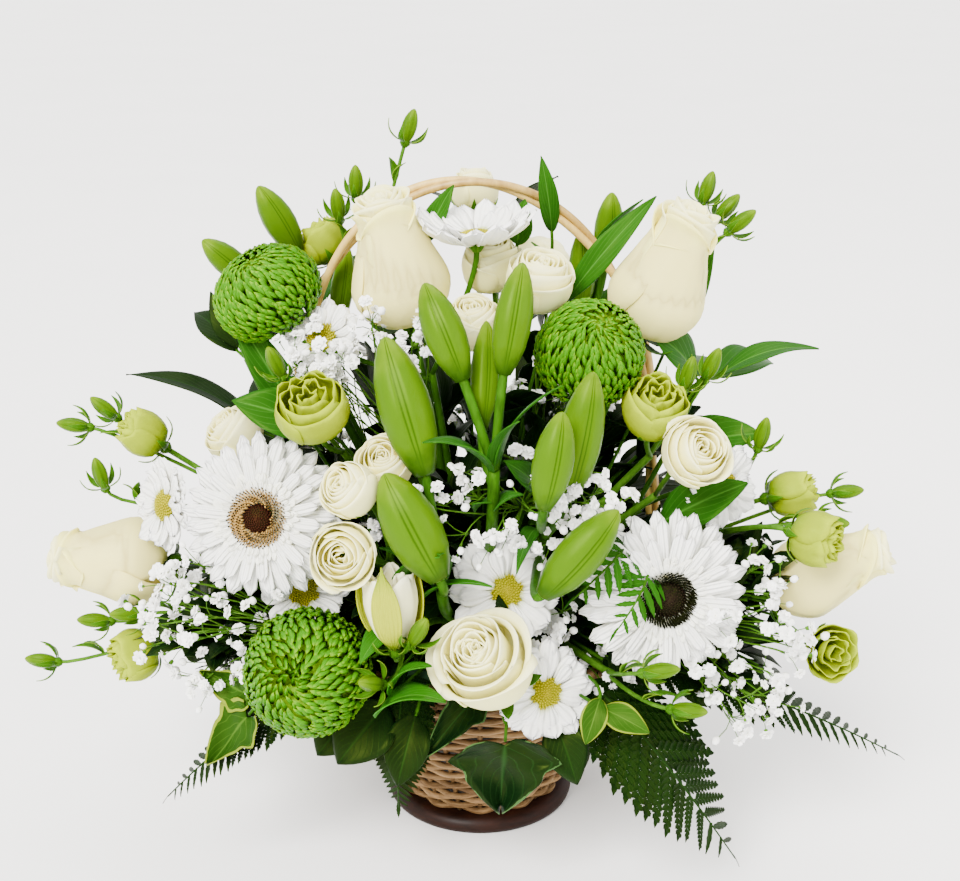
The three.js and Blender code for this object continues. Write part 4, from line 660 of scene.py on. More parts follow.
openRose = [
    {"count": 3, "reach": 84, "curl": 0.1, "ruffle": 0.03, "scallop": 0.16, "round": 0.2, "flare": 0.0,
     "waves": 3,
     "keys": [(0, 0.2, 0.0), (0.2, 0.74, 0.05), (0.5, 1.0, 0.32), (0.8, 1.02, 0.6), (1, 1.1, 0.7)]},
    {"count": 3, "reach": 82, "curl": 0.1, "ruffle": 0.03, "scallop": 0.12, "round": 0.14, "flare": 0.0,
     "waves": 3,
     "keys": [(0, 0.18, 0.03), (0.2, 0.66, 0.1), (0.5, 0.9, 0.4), (0.8, 0.84, 0.74), (1, 0.86, 0.86)]},
    {"count": 3, "reach": 80, "curl": 0.08, "ruffle": 0.03, "scallop": 0.08, "round": 0.1,
     "keys": [(0, 0.14, 0.06), (0.3, 0.6, 0.24), (0.7, 0.68, 0.76), (1, 0.64, 0.94)]}]
openRose += [{"count": 3, "reach": 80, "curl": 0.03, "ruffle": 0.03, "round": 0.06, "waves": 3, "paint": 2,
              "keys": [(0, 0.1, 0.2), (0.5, radius + 0.06, 0.55), (1, radius, height)]}
             for radius, height in ((0.5, 0.95), (0.41, 0.95), (0.33, 0.94), (0.26, 0.92), (0.19, 0.9),
                                    (0.12, 0.88), (0.06, 0.86))]


def smallRose(opened):
    # a spray rose, from a tight cup at 0 to a rounded one with turned-out lips at 1
    rows = [
        {"count": 3, "reach": 84, "curl": mix(0.08, 0.18, opened), "ruffle": 0.03, "waves": 3,
         "scallop": 0.14, "round": 0.2,
         "keys": [(0, 0.16, 0.0), (0.26, 0.84, 0.1), (0.6, mix(1.0, 1.06, opened), mix(0.46, 0.36, opened)),
                  (1, mix(0.8, 1.12, opened), mix(0.84, 0.64, opened))]},
        {"count": 3, "reach": 84, "curl": mix(0.06, 0.14, opened), "ruffle": 0.03, "waves": 3,
         "scallop": 0.12,
         "keys": [(0, 0.14, 0.03), (0.3, 0.76, 0.16), (0.62, 0.92, mix(0.54, 0.46, opened)),
                  (1, mix(0.66, 0.88, opened), mix(0.93, 0.78, opened))]}]
    for radius, height in ((0.62, 0.97), (0.46, 0.97), (0.32, 0.95), (0.2, 0.92), (0.09, 0.9)):
        rows.append({"count": 3 if radius > 0.1 else 2, "reach": 84, "curl": 0.05 * radius, "ruffle": 0.03,
                     "waves": 3, "paint": 3,
                     "keys": [(0, 0.12, 0.1), (0.5, radius + 0.1, 0.5),
                              (1, radius * mix(0.9, 1.05, opened), height * mix(1.0, 0.88, opened))]})
    return rows


def ruffledCup(opened):
    # a lisianthus: a few broad petals wrapped round each other, with finely frilled lips
    return [
        {"count": 3, "reach": 84, "curl": 0.1, "ruffle": 0.05, "waves": 7, "scallop": 0.1, "round": 0.2,
         "flare": 0.0,
         "keys": [(0, 0.2, 0.0), (0.25, 0.74, 0.12), (0.6, 1.0, 0.5),
                  (1, mix(0.74, 1.1, opened), mix(0.93, 0.82, opened))]},
        {"count": 3, "reach": 84, "curl": 0.08, "ruffle": 0.06, "waves": 8, "scallop": 0.08, "flare": 0.0,
         "keys": [(0, 0.16, 0.05), (0.3, 0.64, 0.24), (0.65, 0.84, 0.6),
                  (1, mix(0.56, 0.86, opened), mix(0.99, 0.92, opened))]},
        {"count": 3, "reach": 80, "curl": 0.05, "ruffle": 0.07, "waves": 7,
         "keys": [(0, 0.1, 0.1), (0.5, 0.54, 0.6), (1, mix(0.34, 0.56, opened), mix(1.0, 0.96, opened))]},
        {"count": 2, "reach": 110, "curl": 0.03, "ruffle": 0.07, "waves": 7,
         "keys": [(0, 0.08, 0.15), (0.5, 0.3, 0.6), (1, mix(0.16, 0.26, opened), mix(0.96, 0.93, opened))]}]


def addHip(bm, base, axis, radius, sepal, paint=1, count=5, reflex=0.3):
    # the green swelling behind a bloom, with its sepals
    hip = turnedOf([(0, -radius * 1.6), (radius * 0.5, -radius * 1.5), (radius * 0.95, -radius * 0.9),
                    (radius * 0.8, -radius * 0.25), (radius * 0.5, 0.2), (0, 0.4)], 12, paint=paint)
    place = aim(base, axis)
    lay(bm, hip, place, tint=0.4)
    for k in range(count):
        angle = 2 * math.pi * k / count + 0.3
        out = Vector((math.cos(angle), math.sin(angle), 0))
        root = place @ (out * radius * 0.7 + Vector((0, 0, -radius * 0.5)))
        tip = place @ (out * (radius + sepal * 0.8) + Vector((0, 0, sepal * reflex)))
        shape = leafShape(root, tip, sepal * 0.34, arch=-0.22, fold=0.2, lift=axis)
        addSheet(bm, shape, tint=0.5, across=4, along=6, thickness=0.4, paint=paint)


largeRoses = [
    {"node": "rose_top_left", "at": (-45, -40, 347), "face": (-0.2, -0.06, 0.97), "radius": 27, "length": 74},
    {"node": "rose_top_right", "at": (100, -38, 340), "face": (0.36, -0.06, 0.93), "radius": 27,
     "length": 76},
    {"node": "rose_left", "at": (-212, -36, 170), "face": (-0.99, -0.1, 0.08), "radius": 26, "length": 68},
    {"node": "rose_right", "at": (195, -58, 175), "face": (0.9, -0.08, 0.42), "radius": 24, "length": 70},
    {"node": "rose_front", "at": (2, -140, 161), "face": (-0.3, -0.6, 0.75), "radius": 24, "length": 48,
     "open": True}]
roseLook = {"fine": (14, 16), "thickness": 0.6, "hip": 6.5, "sepal": 22, "hipLength": 8, "stem": 2.7}


def makeLargeRoses():
    look = roseLook
    for i, rose in enumerate(largeRoses):
        opened = rose.get("open")
        axis = Vector(rose["face"]).normalized()
        base = Vector(rose["at"]) - axis * rose["length"] * (0.5 if opened else 0.48)
        bloom = whorlPattern(openRose if opened else tallRose, rose["radius"] * 0.97, rose["length"], 11 + i,
                             fine=look["fine"], thickness=look["thickness"])
        bm = marked()
        lay(bm, bloom, aim(base, axis, 0.7 * i))
        petals = finishes["sprayRose" if opened else "rose"]
        finishPiece(camel(rose["node"] + "_petals"), bm, [petals, finishes["stem"], finishes["roseHeart"]],
                    [rose["node"] + "_petals"])
        stem = marked()
        addHip(stem, base, axis, look["hip"], look["sepal"], reflex=0.05)
        addRods(stem, [(stemRun(base - axis * look["hipLength"], axis), look["stem"])], fineness=3)
        finishPiece(camel(rose["node"] + "_stem"), stem, [finishes["sepal"], finishes["stem"]],
                    [rose["node"] + "_stem"])


# gerberas

gerberas = [
    {"node": "gerbera_left", "at": (-115, -96, 222), "face": (-0.16, -0.9, 0.3), "radius": 45,
     "eyeRadius": 7.5, "ring": 15.5, "bristles": 330, "eyeFinish": "eyeDark", "ringFinish": "eyeBrown",
     "slot": "brown_disc"},
    {"node": "gerbera_right", "at": (96, -120, 188), "face": (0.12, -0.95, 0.12), "radius": 46,
     "eyeRadius": 9.5, "ring": 14.5, "bristles": 260, "eyeFinish": "eyeBlack", "ringFinish": "eyeBlack",
     "slot": "dark_disc"}]

rayRows = [  # length is a share of the radius; root and tip are heights, and rise is the arch between them
    {"count": 26, "inner": 8, "length": 1.0, "width": 8.2, "root": 0.5, "tip": -6.0, "rise": 1.5},
    {"count": 25, "inner": 8, "length": 0.95, "width": 7.6, "root": 2.2, "tip": 2.0, "rise": 2.5},
    {"count": 20, "inner": 8, "length": 0.78, "width": 6.8, "root": 3.8, "tip": 8.5, "rise": 2.0},
    {"count": 36, "inner": 10, "length": 0.56, "width": 3.6, "root": 3.6, "tip": 8.4, "rise": 1.0},
    {"count": 40, "inner": 11, "length": 0.47, "width": 2.6, "root": 4.4, "tip": 8.8, "rise": 1.0}]
gerberaLook = {"longRows": 3, "thickness": 0.35, "discLow": 5.4, "discHigh": 8.4, "discFlorets": 130,
               "floretSize": 1.0, "bristle": [0.34, 0.5], "tip": [0.5, 0.3], "tipLength": 0.9,
               "behind": 2.8, "hip": 10, "sepal": 8, "hipLength": 10, "stem": 3.2}


def rayShape(row, radius, draw):
    # a strap petal with two grooves and a rounded, notched tip
    length = radius * row["length"] * draw.uniform(0.93, 1.0) - row["inner"]
    sway, twist, lift = draw.uniform(-1, 1), draw.uniform(-1, 1), draw.uniform(-1, 1)
    width = row["width"] * draw.uniform(0.88, 1.05)

    def shape(s, t):
        body = 0.42 + 0.58 * ease(0, 0.6, t)
        tip = math.sqrt(max(0.0, 1 - max(0, (t - 0.86) / 0.145) ** 2))
        half = width / 2 * body * max(tip, 0.1)
        notch = 0.6 * math.cos(3 * math.pi * s) * ease(0.85, 1, t)
        x = row["inner"] + length * t + notch
        y = s * half + sway * 1.6 * t * t
        z = mix(row["root"], row["tip"], t * t) + row["rise"] * math.sin(math.pi * t)
        z += (0.28 * math.cos(2.6 * math.pi * s) * body - 0.5 * abs(s) ** 2 * body + twist * s * t * 0.9
              + lift * t * t * 1.6)
        return Vector((x, y, z))
    return shape


def discPattern(radius, low, high, count, size, paint):
    # florets in a golden spiral over a low dome
    bm = marked()
    dome = turnedOf([(0, low - 1), (radius, low - 1), (radius, low), (radius * 0.7, mix(low, high, 0.6)),
                     (0, high)], 20, paint=paint)
    lay(bm, dome, tint=0.2)
    floret = turnedOf([(0, -0.4), (0.5, 0), (0.55, 0.7), (0.3, 1.2), (0, 1.3)], 6, paint=paint)
    for i in range(count):
        share = math.sqrt((i + 0.5) / count)
        angle = goldenTurn * i
        r = radius * share
        z = mix(high, low, share ** 2)
        out = Vector((math.cos(angle), math.sin(angle), 0))
        place = aim(out * r + up * (z - 0.3), up + out * share * 0.7, size=size * mix(0.7, 1.1, share))
        stamp(bm, floret, place, tint=(i * 0.618) % 1)
    bpy.data.meshes.remove(floret)
    return patternOf(bm)


def makeGerberas():
    look = gerberaLook
    for i, flower in enumerate(gerberas):
        draw = random.Random(40 + i)
        axis = Vector(flower["face"]).normalized()
        place = aim(flower["at"], axis)
        bm = marked()
        for k, row in enumerate(rayRows):
            across, along, paint = (6, 9, 0) if k < look["longRows"] else (3, 5, 1)
            for n in range(row["count"]):
                angle = 2 * math.pi * (n + 0.37 * k) / row["count"] + draw.uniform(-0.05, 0.05)
                ray = sheetOf(rayShape(row, flower["radius"], draw), across=across, along=along,
                              thickness=look["thickness"], paint=paint)
                lay(bm, ray, place @ Matrix.Rotation(angle, 4, "Z"), tint=draw.uniform(0.2, 0.8))
        finishPiece(camel(flower["node"] + "_rays"), bm, [finishes["gerbera"], finishes["gerberaInner"]],
                    [flower["node"] + "_rays"])
        eye = marked()
        lay(eye, discPattern(flower["eyeRadius"], look["discLow"], look["discHigh"], look["discFlorets"],
                             look["floretSize"], 0), place)
        bristles, tips = [], []
        for n in range(flower["bristles"]):
            # the ring is a dense pile of short florets, taller towards the middle
            angle = goldenTurn * n
            share = (n + 0.5) / flower["bristles"]
            ring = mix(flower["eyeRadius"], flower["ring"], share ** 0.8)
            out = Vector((math.cos(angle), math.sin(angle), 0))
            foot = out * (ring - 1.2) + up * 3.6
            head = out * (ring + 0.6) + up * (mix(9.4, 6.6, share) + draw.uniform(-0.6, 0.6))
            bristles.append(([place @ foot, place @ head], look["bristle"]))
            end = head + (head - foot).normalized() * look["tipLength"]
            tips.append(([place @ head, place @ end], look["tip"]))
        addRods(eye, bristles, fineness=0, paint=1)
        addRods(eye, [tip for n, tip in enumerate(tips) if n % 3], fineness=0, paint=0)
        finishPiece(camel(flower["node"] + "_disc"), eye,
                    [finishes[flower["eyeFinish"]], finishes[flower["ringFinish"]]],
                    [flower["node"] + "_disc"])
        stem = marked()
        back = Vector(flower["at"]) - axis * look["behind"]
        addHip(stem, back + axis * 2, axis, look["hip"], look["sepal"], paint=0, count=12, reflex=0.1)
        addRods(stem, [(stemRun(back - axis * look["hipLength"], axis), look["stem"])], fineness=3)
        finishPiece(camel(flower["node"] + "_stem"), stem, [finishes["sepal"], finishes["stem"]],
                    [flower["node"] + "_stem"])


# lime pompon chrysanthemums

pompons = [
    {"node": "pompon_top_left", "at": (-115, -30, 326), "face": (-0.4, -0.35, 0.85), "radius": 30,
     "dimple": 0.1, "flat": 0.8},
    {"node": "pompon_right", "at": (57, -76, 306), "face": (0.15, -0.6, 0.78), "radius": 29, "dimple": 0.1},
    {"node": "pompon_front_left", "at": (-90, -130, 149), "face": (-0.18, -0.9, 0.36), "radius": 34,
     "dimple": 0.45}]
pomponLook = {"length": 0.29, "width": 0.105, "thickness": 0.02, "florets": 760, "widest": 126, "tuck": 0.88,
              "hip": 7, "sepal": 10, "stem": 2.8}  # the floret's sizes and the tuck are shares of the radius


def floretShape(length, width):
    # a grain-like floret along +Y, rounded on its outer side and pointed at the tip
    def shape(s, t):
        outline = math.sin(math.pi * min(1, 0.16 + 0.84 * t)) ** 0.65 if t < 1 else 0.0
        half = width / 2 * max(0.08, outline)
        crown = 0.42 * width * (1 - s * s) * outline
        return Vector((s * half, length * t, crown + 0.10 * length * t - 0.16 * length * t * t))
    return shape


def makePompons():
    look = pomponLook
    widest = math.radians(look["widest"])
    for i, head in enumerate(pompons):
        draw = random.Random(70 + i)
        radius, dimple = head["radius"], head["dimple"]
        axis = Vector(head["face"]).normalized()
        place = aim(head["at"], axis, 0.5 * i) @ Matrix.Diagonal((1, 1, head.get("flat", 1), 1))
        turn = place.to_3x3()
        floret = sheetOf(floretShape(look["length"], look["width"]), across=2, along=5,
                         thickness=look["thickness"])
        bm = marked()
        ball = turnedOf([(0, -0.7), (0.5, -0.6), (0.8, -0.25), (0.82, 0.2), (0.62, 0.56),
                         (0.3, 0.76 - dimple * 0.5), (0, 0.76 - dimple)], 24, paint=0)
        lay(bm, ball, place @ Matrix.Scale(radius, 4), tint=0.0)
        for n in range(look["florets"]):
            share = (n + 0.5) / look["florets"]
            polar = math.acos(1 - share * (1 - math.cos(widest))) + draw.uniform(-0.03, 0.03)
            angle = goldenTurn * n + draw.uniform(-0.05, 0.05)
            out = Vector((math.sin(polar) * math.cos(angle), math.sin(polar) * math.sin(angle),
                          math.cos(polar)))
            inward = Vector((-math.cos(polar) * math.cos(angle), -math.cos(polar) * math.sin(angle),
                             math.sin(polar)))
            swirl = out.cross(inward)
            near = 1 - ease(0, 0.7, polar)
            far = ease(1.1, 1.9, polar)
            rest = radius * (look["tuck"] - dimple * near * near)
            grow = (out * mix(0.34, 0.42, far) + inward * mix(0.85, 0.75, far)
                    + swirl * draw.uniform(-0.05, 0.5))
            size = radius * mix(1.0, 0.62, near) * draw.uniform(0.85, 1.12)
            at = place @ (out * rest - inward * size * 0.16)
            stamp(bm, floret, frameOf(at, turn @ grow, turn @ (out * 0.9 - inward * 0.3), size),
                  tint=draw.uniform(0.1, 0.9))
        bpy.data.meshes.remove(floret)
        back = Vector(head["at"]) - axis * radius * 0.6
        addHip(bm, back + axis * 3, axis, look["hip"], look["sepal"], paint=1, count=9, reflex=0.3)
        addRods(bm, [(stemRun(back, axis), look["stem"])], fineness=3, paint=2)
        finishPiece(camel(head["node"]), bm, [finishes["lime"], finishes["sepal"], finishes["stem"]],
                    [head["node"]])


# lily buds

lilies = [
    {"node": "lily_centre", "fork": (7, -121, 258),
     "buds": [((-9, -108, 303), (-25, -93, 340), 24), ((12, -108, 306), (20, -93, 350), 22),
              ((1, -106, 276), (3, -82, 317), 17)],
     "leaves": [(-28, -137, 279, 15), (19, -137, 290, 9), (40, -130, 306, 7), (-3, -112, 232, 12),
                (22, -118, 244, 12)]},
    {"node": "lily_left", "fork": (-20, -122, 196),
     "buds": [((-28, -120, 257), (-46, -97, 313), 31), ((-21, -141, 209), (-44, -131, 253), 33)],
     "leaves": [(-20, -152, 226, 10), (-52, -112, 212, 12)]},
    {"node": "lily_right", "fork": (34, -78, 208),
     "buds": [((31, -153, 252), (38, -147, 290), 23), ((43, -127, 246), (54, -124, 303), 26),
              ((32, -150, 204), (63, -142, 239), 26)],
     "leaves": [(18, -148, 214, 9)]},
    {"node": "lily_back_left", "fork": (-98, 22, 300),
     "buds": [((-104, 18, 338), (-120, 14, 369), 21), ((-130, 14, 322), (-150, 10, 341), 19),
              ((-82, 12, 296), (-76, 14, 334), 15)],
     "leaves": [(-128, 40, 330, 14), (-70, 46, 330, 14)]},
    {"node": "lily_back_right", "fork": (62, 18, 290),
     "buds": [((71, 16, 333), (73, 12, 365), 19), ((58, 14, 306), (58, 16, 344), 18)],
     "leaves": [(88, -14, 374, 15), (96, 40, 318, 15), (30, 42, 338, 13)]}]
lilyLook = {"slim": 0.88, "stem": 3.1, "twig": 2.5, "broaden": 1.15, "leafThickness": 0.6,
            "seamOffset": 0.1, "seamWidth": 0.07, "seamDepth": 0.07, "flatness": 0.035}


def addBud(bm, base, tip, width, paint=0, extra=8, seams=3, sway=0.0):
    # a pointed bud of folded segments, with one of its seams turned towards the front
    look = lilyLook
    base, tip = Vector(base), Vector(tip)
    axis = (tip - base).normalized()
    length = (tip - base).length + extra
    r = width / 2
    place = aim(base, axis)
    front = place.to_3x3().inverted() @ Vector((0.25, -1, 0.2))
    facing = math.atan2(front.y, front.x) + sway
    profile = [(0, -3), (r * 0.38, -1.5), (r * 0.62, length * 0.08), (r * 0.86, length * 0.22),
               (r * 0.98, length * 0.4), (r * 0.97, length * 0.55), (r * 0.84, length * 0.71),
               (r * 0.62, length * 0.84), (r * 0.36, length * 0.94), (r * 0.16, length * 0.985), (0, length)]
    span = math.pi / seams
    bud = turnedOf(profile, 60, paint=paint)
    folded = marked()
    folded.from_mesh(bud)
    acrossLayer = folded.verts.layers.float["across"]
    for v in folded.verts:
        angle = (math.atan2(v.co.y, v.co.x) - facing + span) % (2 * span) - span
        share = ease(-3, length * 0.2, v.co.z) * (1 - ease(length * 0.93, length, v.co.z))
        groove = math.exp(-((abs(angle) - look["seamOffset"]) / look["seamWidth"]) ** 2)
        flat = math.cos(seams * angle) * look["flatness"]
        v[acrossLayer] = angle / span
        grow = 1 - share * (look["seamDepth"] * groove + flat)
        v.co.x *= grow
        v.co.y *= grow
    folded.to_mesh(bud)
    folded.free()
    lay(bm, bud, place, tint=0.5)


def makeLilies():
    look = lilyLook
    for i, spray in enumerate(lilies):
        draw = random.Random(90 + i)
        fork = Vector(spray["fork"])
        heading = Vector((0.0015 * fork.x, -0.1, 1)).normalized()
        bm = marked()
        addRods(bm, [(stemRun(fork, heading), look["stem"])], fineness=3)
        for k, (base, tip, width) in enumerate(spray["buds"]):
            base, tip = Vector(base), Vector(tip)
            face = (tip - base).normalized()
            addBud(bm, base, tip, width * look["slim"], sway=draw.uniform(-0.25, 0.25))
            addRods(bm, [(twigRun(fork - heading * 5 * k, base + face, face), look["twig"])], fineness=2)
        for k, (x, y, z, width) in enumerate(spray["leaves"]):
            root = fork - heading * (3 + 5 * k)
            shape = leafShape(root, (x, y, z), width * look["broaden"], arch=0.14, fold=0.3)
            addSheet(bm, shape, tint=draw.uniform(0.3, 0.9), across=6, along=14,
                     thickness=look["leafThickness"], paint=2)
        finishPiece(camel(spray["node"]), bm, [finishes["lilyBud"], finishes["stem"], finishes["lance"]],
                    [spray["node"]])


# sprays: lisianthus, spray roses and alstroemeria
# each bloom is place, facing, radius, length and how far it is open; each bud is place and heading

sprays = [
    {"node": "lisianthus_left_high", "fork": (-138, -22, 206),
     "blooms": [((-190, -24, 243), (-0.75, -0.2, 0.62), 13, 27, 0.1)],
     "buds": [(-216, -8, 254, -0.7, 0, 0.6), (-233, -15, 245, -1, 0, 0.15), (-215, -30, 223, -0.25, 0, 1)]},
    {"node": "lisianthus_left_low", "fork": (-150, -42, 142),
     "blooms": [((-197, -58, 121), (-0.85, -0.5, -0.1), 15, 26, 0.2)],
     "buds": [(-222, -50, 139, -1, -0.1, 0.1), (-200, -62, 149, -1, -0.3, 0.1),
              (-256, -45, 111, -1, 0, 0.12)]},
    {"node": "lisianthus_upper_left", "fork": (-74, -62, 246),
     "blooms": [((-86, -95, 281), (-0.1, -0.5, 0.85), 19, 29, 0.35)],
     "buds": [(-108, -68, 300, -0.4, -0.2, 1)]},
    {"node": "lisianthus_back_left", "fork": (-66, 22, 318),
     "blooms": [((-91, 32, 340), (-0.55, 0.1, 0.8), 15, 24, 0.5)],
     "buds": [(-38, 12, 411, 0.3, 0, 1), (-70, 24, 378, 0, 0, 1), (-80, 14, 367, -0.1, -0.2, 1)]},
    {"node": "lisianthus_back_right", "fork": (112, 16, 318), "blooms": [],
     "buds": [(126, 6, 378, 0.3, 0, 1), (139, 10, 366, 0.7, 0, 0.8), (146, 0, 360, 0.8, -0.1, 0.7)]},
    {"node": "lisianthus_right_high", "fork": (92, -62, 244),
     "blooms": [((90, -90, 280), (0.1, -0.5, 0.86), 17, 29, 0.3)],
     "buds": [(110, -68, 294, 0.25, 0, 1), (124, -58, 296, 0.4, 0, 1)]},
    {"node": "lisianthus_right", "fork": (130, -46, 192),
     "blooms": [((175, -40, 213), (0.95, -0.1, 0.25), 13, 27, 0.1),
                ((176, -100, 212), (0.8, -0.55, -0.05), 15, 26, 0.2),
                ((192, -84, 137), (0.25, -0.9, 0.3), 14, 20, 1.0)],
     "buds": [(212, -22, 207, 1, 0, 0.12), (194, -66, 206, 1, -0.1, 0), (153, -58, 257, 0.2, -0.1, 1)]},
    {"node": "lisianthus_front", "fork": (72, -96, 130), "blooms": [],
     "buds": [(93, -152, 162, 1, -0.15, 0.2), (110, -140, 132, 1, -0.1, -0.05)]},
    {"node": "spray_rose_left", "fork": (-50, -76, 188),
     "blooms": [((-49, -105, 256), (-0.15, -0.65, 0.75), 14, 25, 0.35),
                ((-66, -128, 251), (-0.5, -0.6, 0.6), 14, 25, 0.2),
                ((-69, -138, 219), (-0.1, -0.93, 0.36), 16, 22, 0.6)], "buds": []},
    {"node": "spray_rose_top", "fork": (10, -30, 292),
     "blooms": [((6, -28, 343), (-0.1, -0.3, 0.95), 16, 30, 0.3),
                ((31, -58, 341), (0.15, -0.35, 0.92), 17, 32, 0.5),
                ((-4, -54, 317), (-0.05, -0.45, 0.9), 14, 28, 0.2)], "buds": []},
    {"node": "spray_rose_right", "fork": (96, -60, 220),
     "blooms": [((110, -110, 264), (0.3, -0.75, 0.58), 17, 26, 0.6)], "buds": []},
    {"node": "spray_rose_back", "fork": (0, 46, 300),
     "blooms": [((-3, 34, 371), (0, 0.15, 0.98), 13, 26, 0.4),
                ((36, 84, 316), (0.25, 0.75, 0.6), 17, 28, 0.5)],
     "buds": []},
    {"node": "spray_rose_left_back", "fork": (-92, 16, 186),
     "blooms": [((-139, -28, 244), (-0.6, -0.25, 0.75), 16, 28, 0.3),
                ((-118, 76, 226), (-0.55, 0.6, 0.55), 17, 28, 0.5)],
     "buds": []},
    {"node": "alstroemeria", "fork": (-42, -120, 166),
     "blooms": [((-45, -138, 189), (-0.08, 0.12, 0.99), 17, 42, 0.45)],
     "buds": [(-30, -150, 184, 0.4, -0.2, 0.8), (-56, -156, 157, -0.5, -0.6, 0.4)],
     "leaves": [(-20, -150, 224, 13), (6, -146, 206, 8), (-60, -156, 168, 12),
                (-17, -162, 150, 16, -54, -150, 134),
                (-24, -158, 168, 10, -46, -150, 146)]}]
sprayKinds = {  # what each kind's petals are finished with, their slot and the length of the sepals
    "lisianthus": {"petals": "lisianthus", "accent": "lisianthus", "slot": "lisianthus_petal", "sepal": 14},
    "spray": {"petals": "sprayRose", "accent": "roseHeart", "slot": "cream_petal", "sepal": 12},
    "alstroemeria": {"petals": "alstroemeria", "accent": "streaked", "slot": "alstroemeria_petal",
                     "sepal": 14}}
sprayLook = {"stem": 2.0, "twig": 1.5, "hip": 4.2, "bud": 8.6, "budLength": 17, "budHip": 3.2, "budSepal": 11,
             "budTwig": [1.3, 1.25, 1.2, 1.15, 1.1, 1.1, 1.1, 1.1], "pairLength": (14, 20), "pairWidth": 5.5,
             "broaden": 1.35}


def trumpetPattern(radius, length, seed, front):
    # an alstroemeria, half closed: narrow streaked petals lie outside the broad cream ones, one at the front
    rows = [{"count": 3, "reach": 26, "curl": 0.02, "ruffle": 0.02, "scallop": 0.14, "round": 0.75,
             "paint": 3, "phase": front,
             "keys": [(0, 0.2, 0.0), (0.3, 0.82, 0.25), (0.65, 1.02, 0.68), (1, 0.84, 1.16)]},
            {"count": 3, "reach": 80, "curl": 0.08, "ruffle": 0.07, "scallop": 0.12, "round": 0.2,
             "phase": front + 1.0,
             "keys": [(0, 0.16, 0), (0.3, 0.58, 0.24), (0.65, 0.8, 0.6), (1, 0.7, 0.98)]},
            {"count": 3, "reach": 60, "curl": 0.04, "ruffle": 0.05, "scallop": 0.1, "round": 0.4,
             "keys": [(0, 0.1, 0.02), (0.4, 0.4, 0.45), (0.7, 0.5, 0.74), (1, 0.44, 1.0)]}]
    return whorlPattern(rows, radius, length, seed, fine=(10, 12), thickness=0.5)


def makeSprays():
    look = sprayLook
    for i, spray in enumerate(sprays):
        draw = random.Random(120 + i)
        node = spray["node"]
        fork = Vector(spray["fork"])
        heading = headingTo(fork)
        name = node.split("_")[0]
        kind = sprayKinds[name]
        bm = marked()
        addRods(bm, [(stemRun(fork, heading), look["stem"])], fineness=2)
        twigs = []
        for k, (at, face, radius, length, opened) in enumerate(spray["blooms"]):
            face = Vector(face).normalized()
            base = Vector(at) - face * length * 0.5
            seed = 130 + 7 * i + k
            if name == "lisianthus":
                bloom = whorlPattern(ruffledCup(opened), radius, length, seed, fine=(12, 9), thickness=0.4)
            elif name == "alstroemeria":
                toFront = aim(base, face).to_3x3().inverted() @ Vector((-0.1, -1, 0.2))
                bloom = trumpetPattern(radius, length, 130 + i, math.atan2(toFront.y, toFront.x))
            else:
                bloom = whorlPattern(smallRose(opened), radius, length, seed, fine=(10, 9), thickness=0.3)
            spin = draw.uniform(0, 6)
            lay(bm, bloom, aim(base, face, 0 if name == "alstroemeria" else spin))
            addHip(bm, base + face * 1.5, face, look["hip"], kind["sepal"], paint=2, reflex=0.5)
            twigs.append((twigRun(fork - heading * 5 * k, base - face * 3, face), look["twig"]))
        for k, (x, y, z, *way) in enumerate(spray["buds"]):
            way = Vector(way).normalized()
            base = Vector((x, y, z)) - way * 11
            addBud(bm, base, base + way * look["budLength"], look["bud"], paint=4, extra=2, seams=5,
                   sway=draw.uniform(0, 2))
            addHip(bm, base + way * 2, way, look["budHip"], look["budSepal"], paint=2, reflex=0.75)
            twigs.append((twigRun(fork - heading * 4 * (k + 1), base, way), look["budTwig"]))
            if name == "lisianthus":
                # a pair of narrow leaves stands at a joint of the twig
                joint = twigs[-1][0][4]
                for side in (-1, 1):
                    out = Vector((side * 0.5, -0.4, 0.5)) + way
                    tip = joint + out.normalized() * draw.uniform(*look["pairLength"])
                    shape = leafShape(joint, tip, look["pairWidth"], arch=0.15, fold=0.3)
                    addSheet(bm, shape, tint=0.6, across=4, along=8, thickness=0.4, paint=2)
        addRods(bm, twigs, fineness=2)
        for k, (x, y, z, width, *foot) in enumerate(spray.get("leaves", [])):
            shape = leafShape(foot or fork - heading * (2 + 4 * k), (x, y, z), width * look["broaden"],
                              arch=0.18, fold=0.25, blunt=0.5, ripple=0.02)
            addSheet(bm, shape, tint=draw.uniform(0.4, 0.9), across=8, along=14, thickness=0.6, paint=5)
        looks = (kind["petals"], "paleStem", "sepal", kind["accent"], "lilyBud", "broad")
        finishPiece(camel(node), bm, [finishes[n] for n in looks], [node])


# daisies

daisies = [
    {"node": "daisy_front", "fork": (16, -72, 142),
     "heads": [((14, -104, 183), (0.1, -0.85, 0.5), 31, 0.12),
               ((34, -120, 132), (0.3, -0.85, 0.2), 29, 0.1)]},
    {"node": "daisy_top", "fork": (-26, -42, 284),
     "heads": [((-2, -44, 358), (-0.06, -0.05, 1), 36, 0.5), ((-84, -46, 304), (-0.35, -0.6, 0.6), 24, 0.3)]},
    {"node": "daisy_left", "fork": (-92, -48, 172),
     "heads": [((-172, -55, 212), (-0.7, -0.6, 0.25), 26, 0.3),
               ((-95, -90, 178), (0.05, -0.95, 0.05), 25, 0.1)]},
    {"node": "daisy_right", "fork": (84, 4, 182),
     "heads": [((128, -76, 232), (0.5, -0.75, 0.2), 25, 0.15), ((112, 88, 214), (0.5, 0.8, 0.3), 27, 0.15)]}]
daisyRows = [{"count": 13, "length": 1.0, "width": 10.8, "lift": 0},
             {"count": 11, "length": 0.9, "width": 9.8, "lift": 2.2},
             {"count": 6, "length": 0.74, "width": 8.4, "lift": 4.0}]
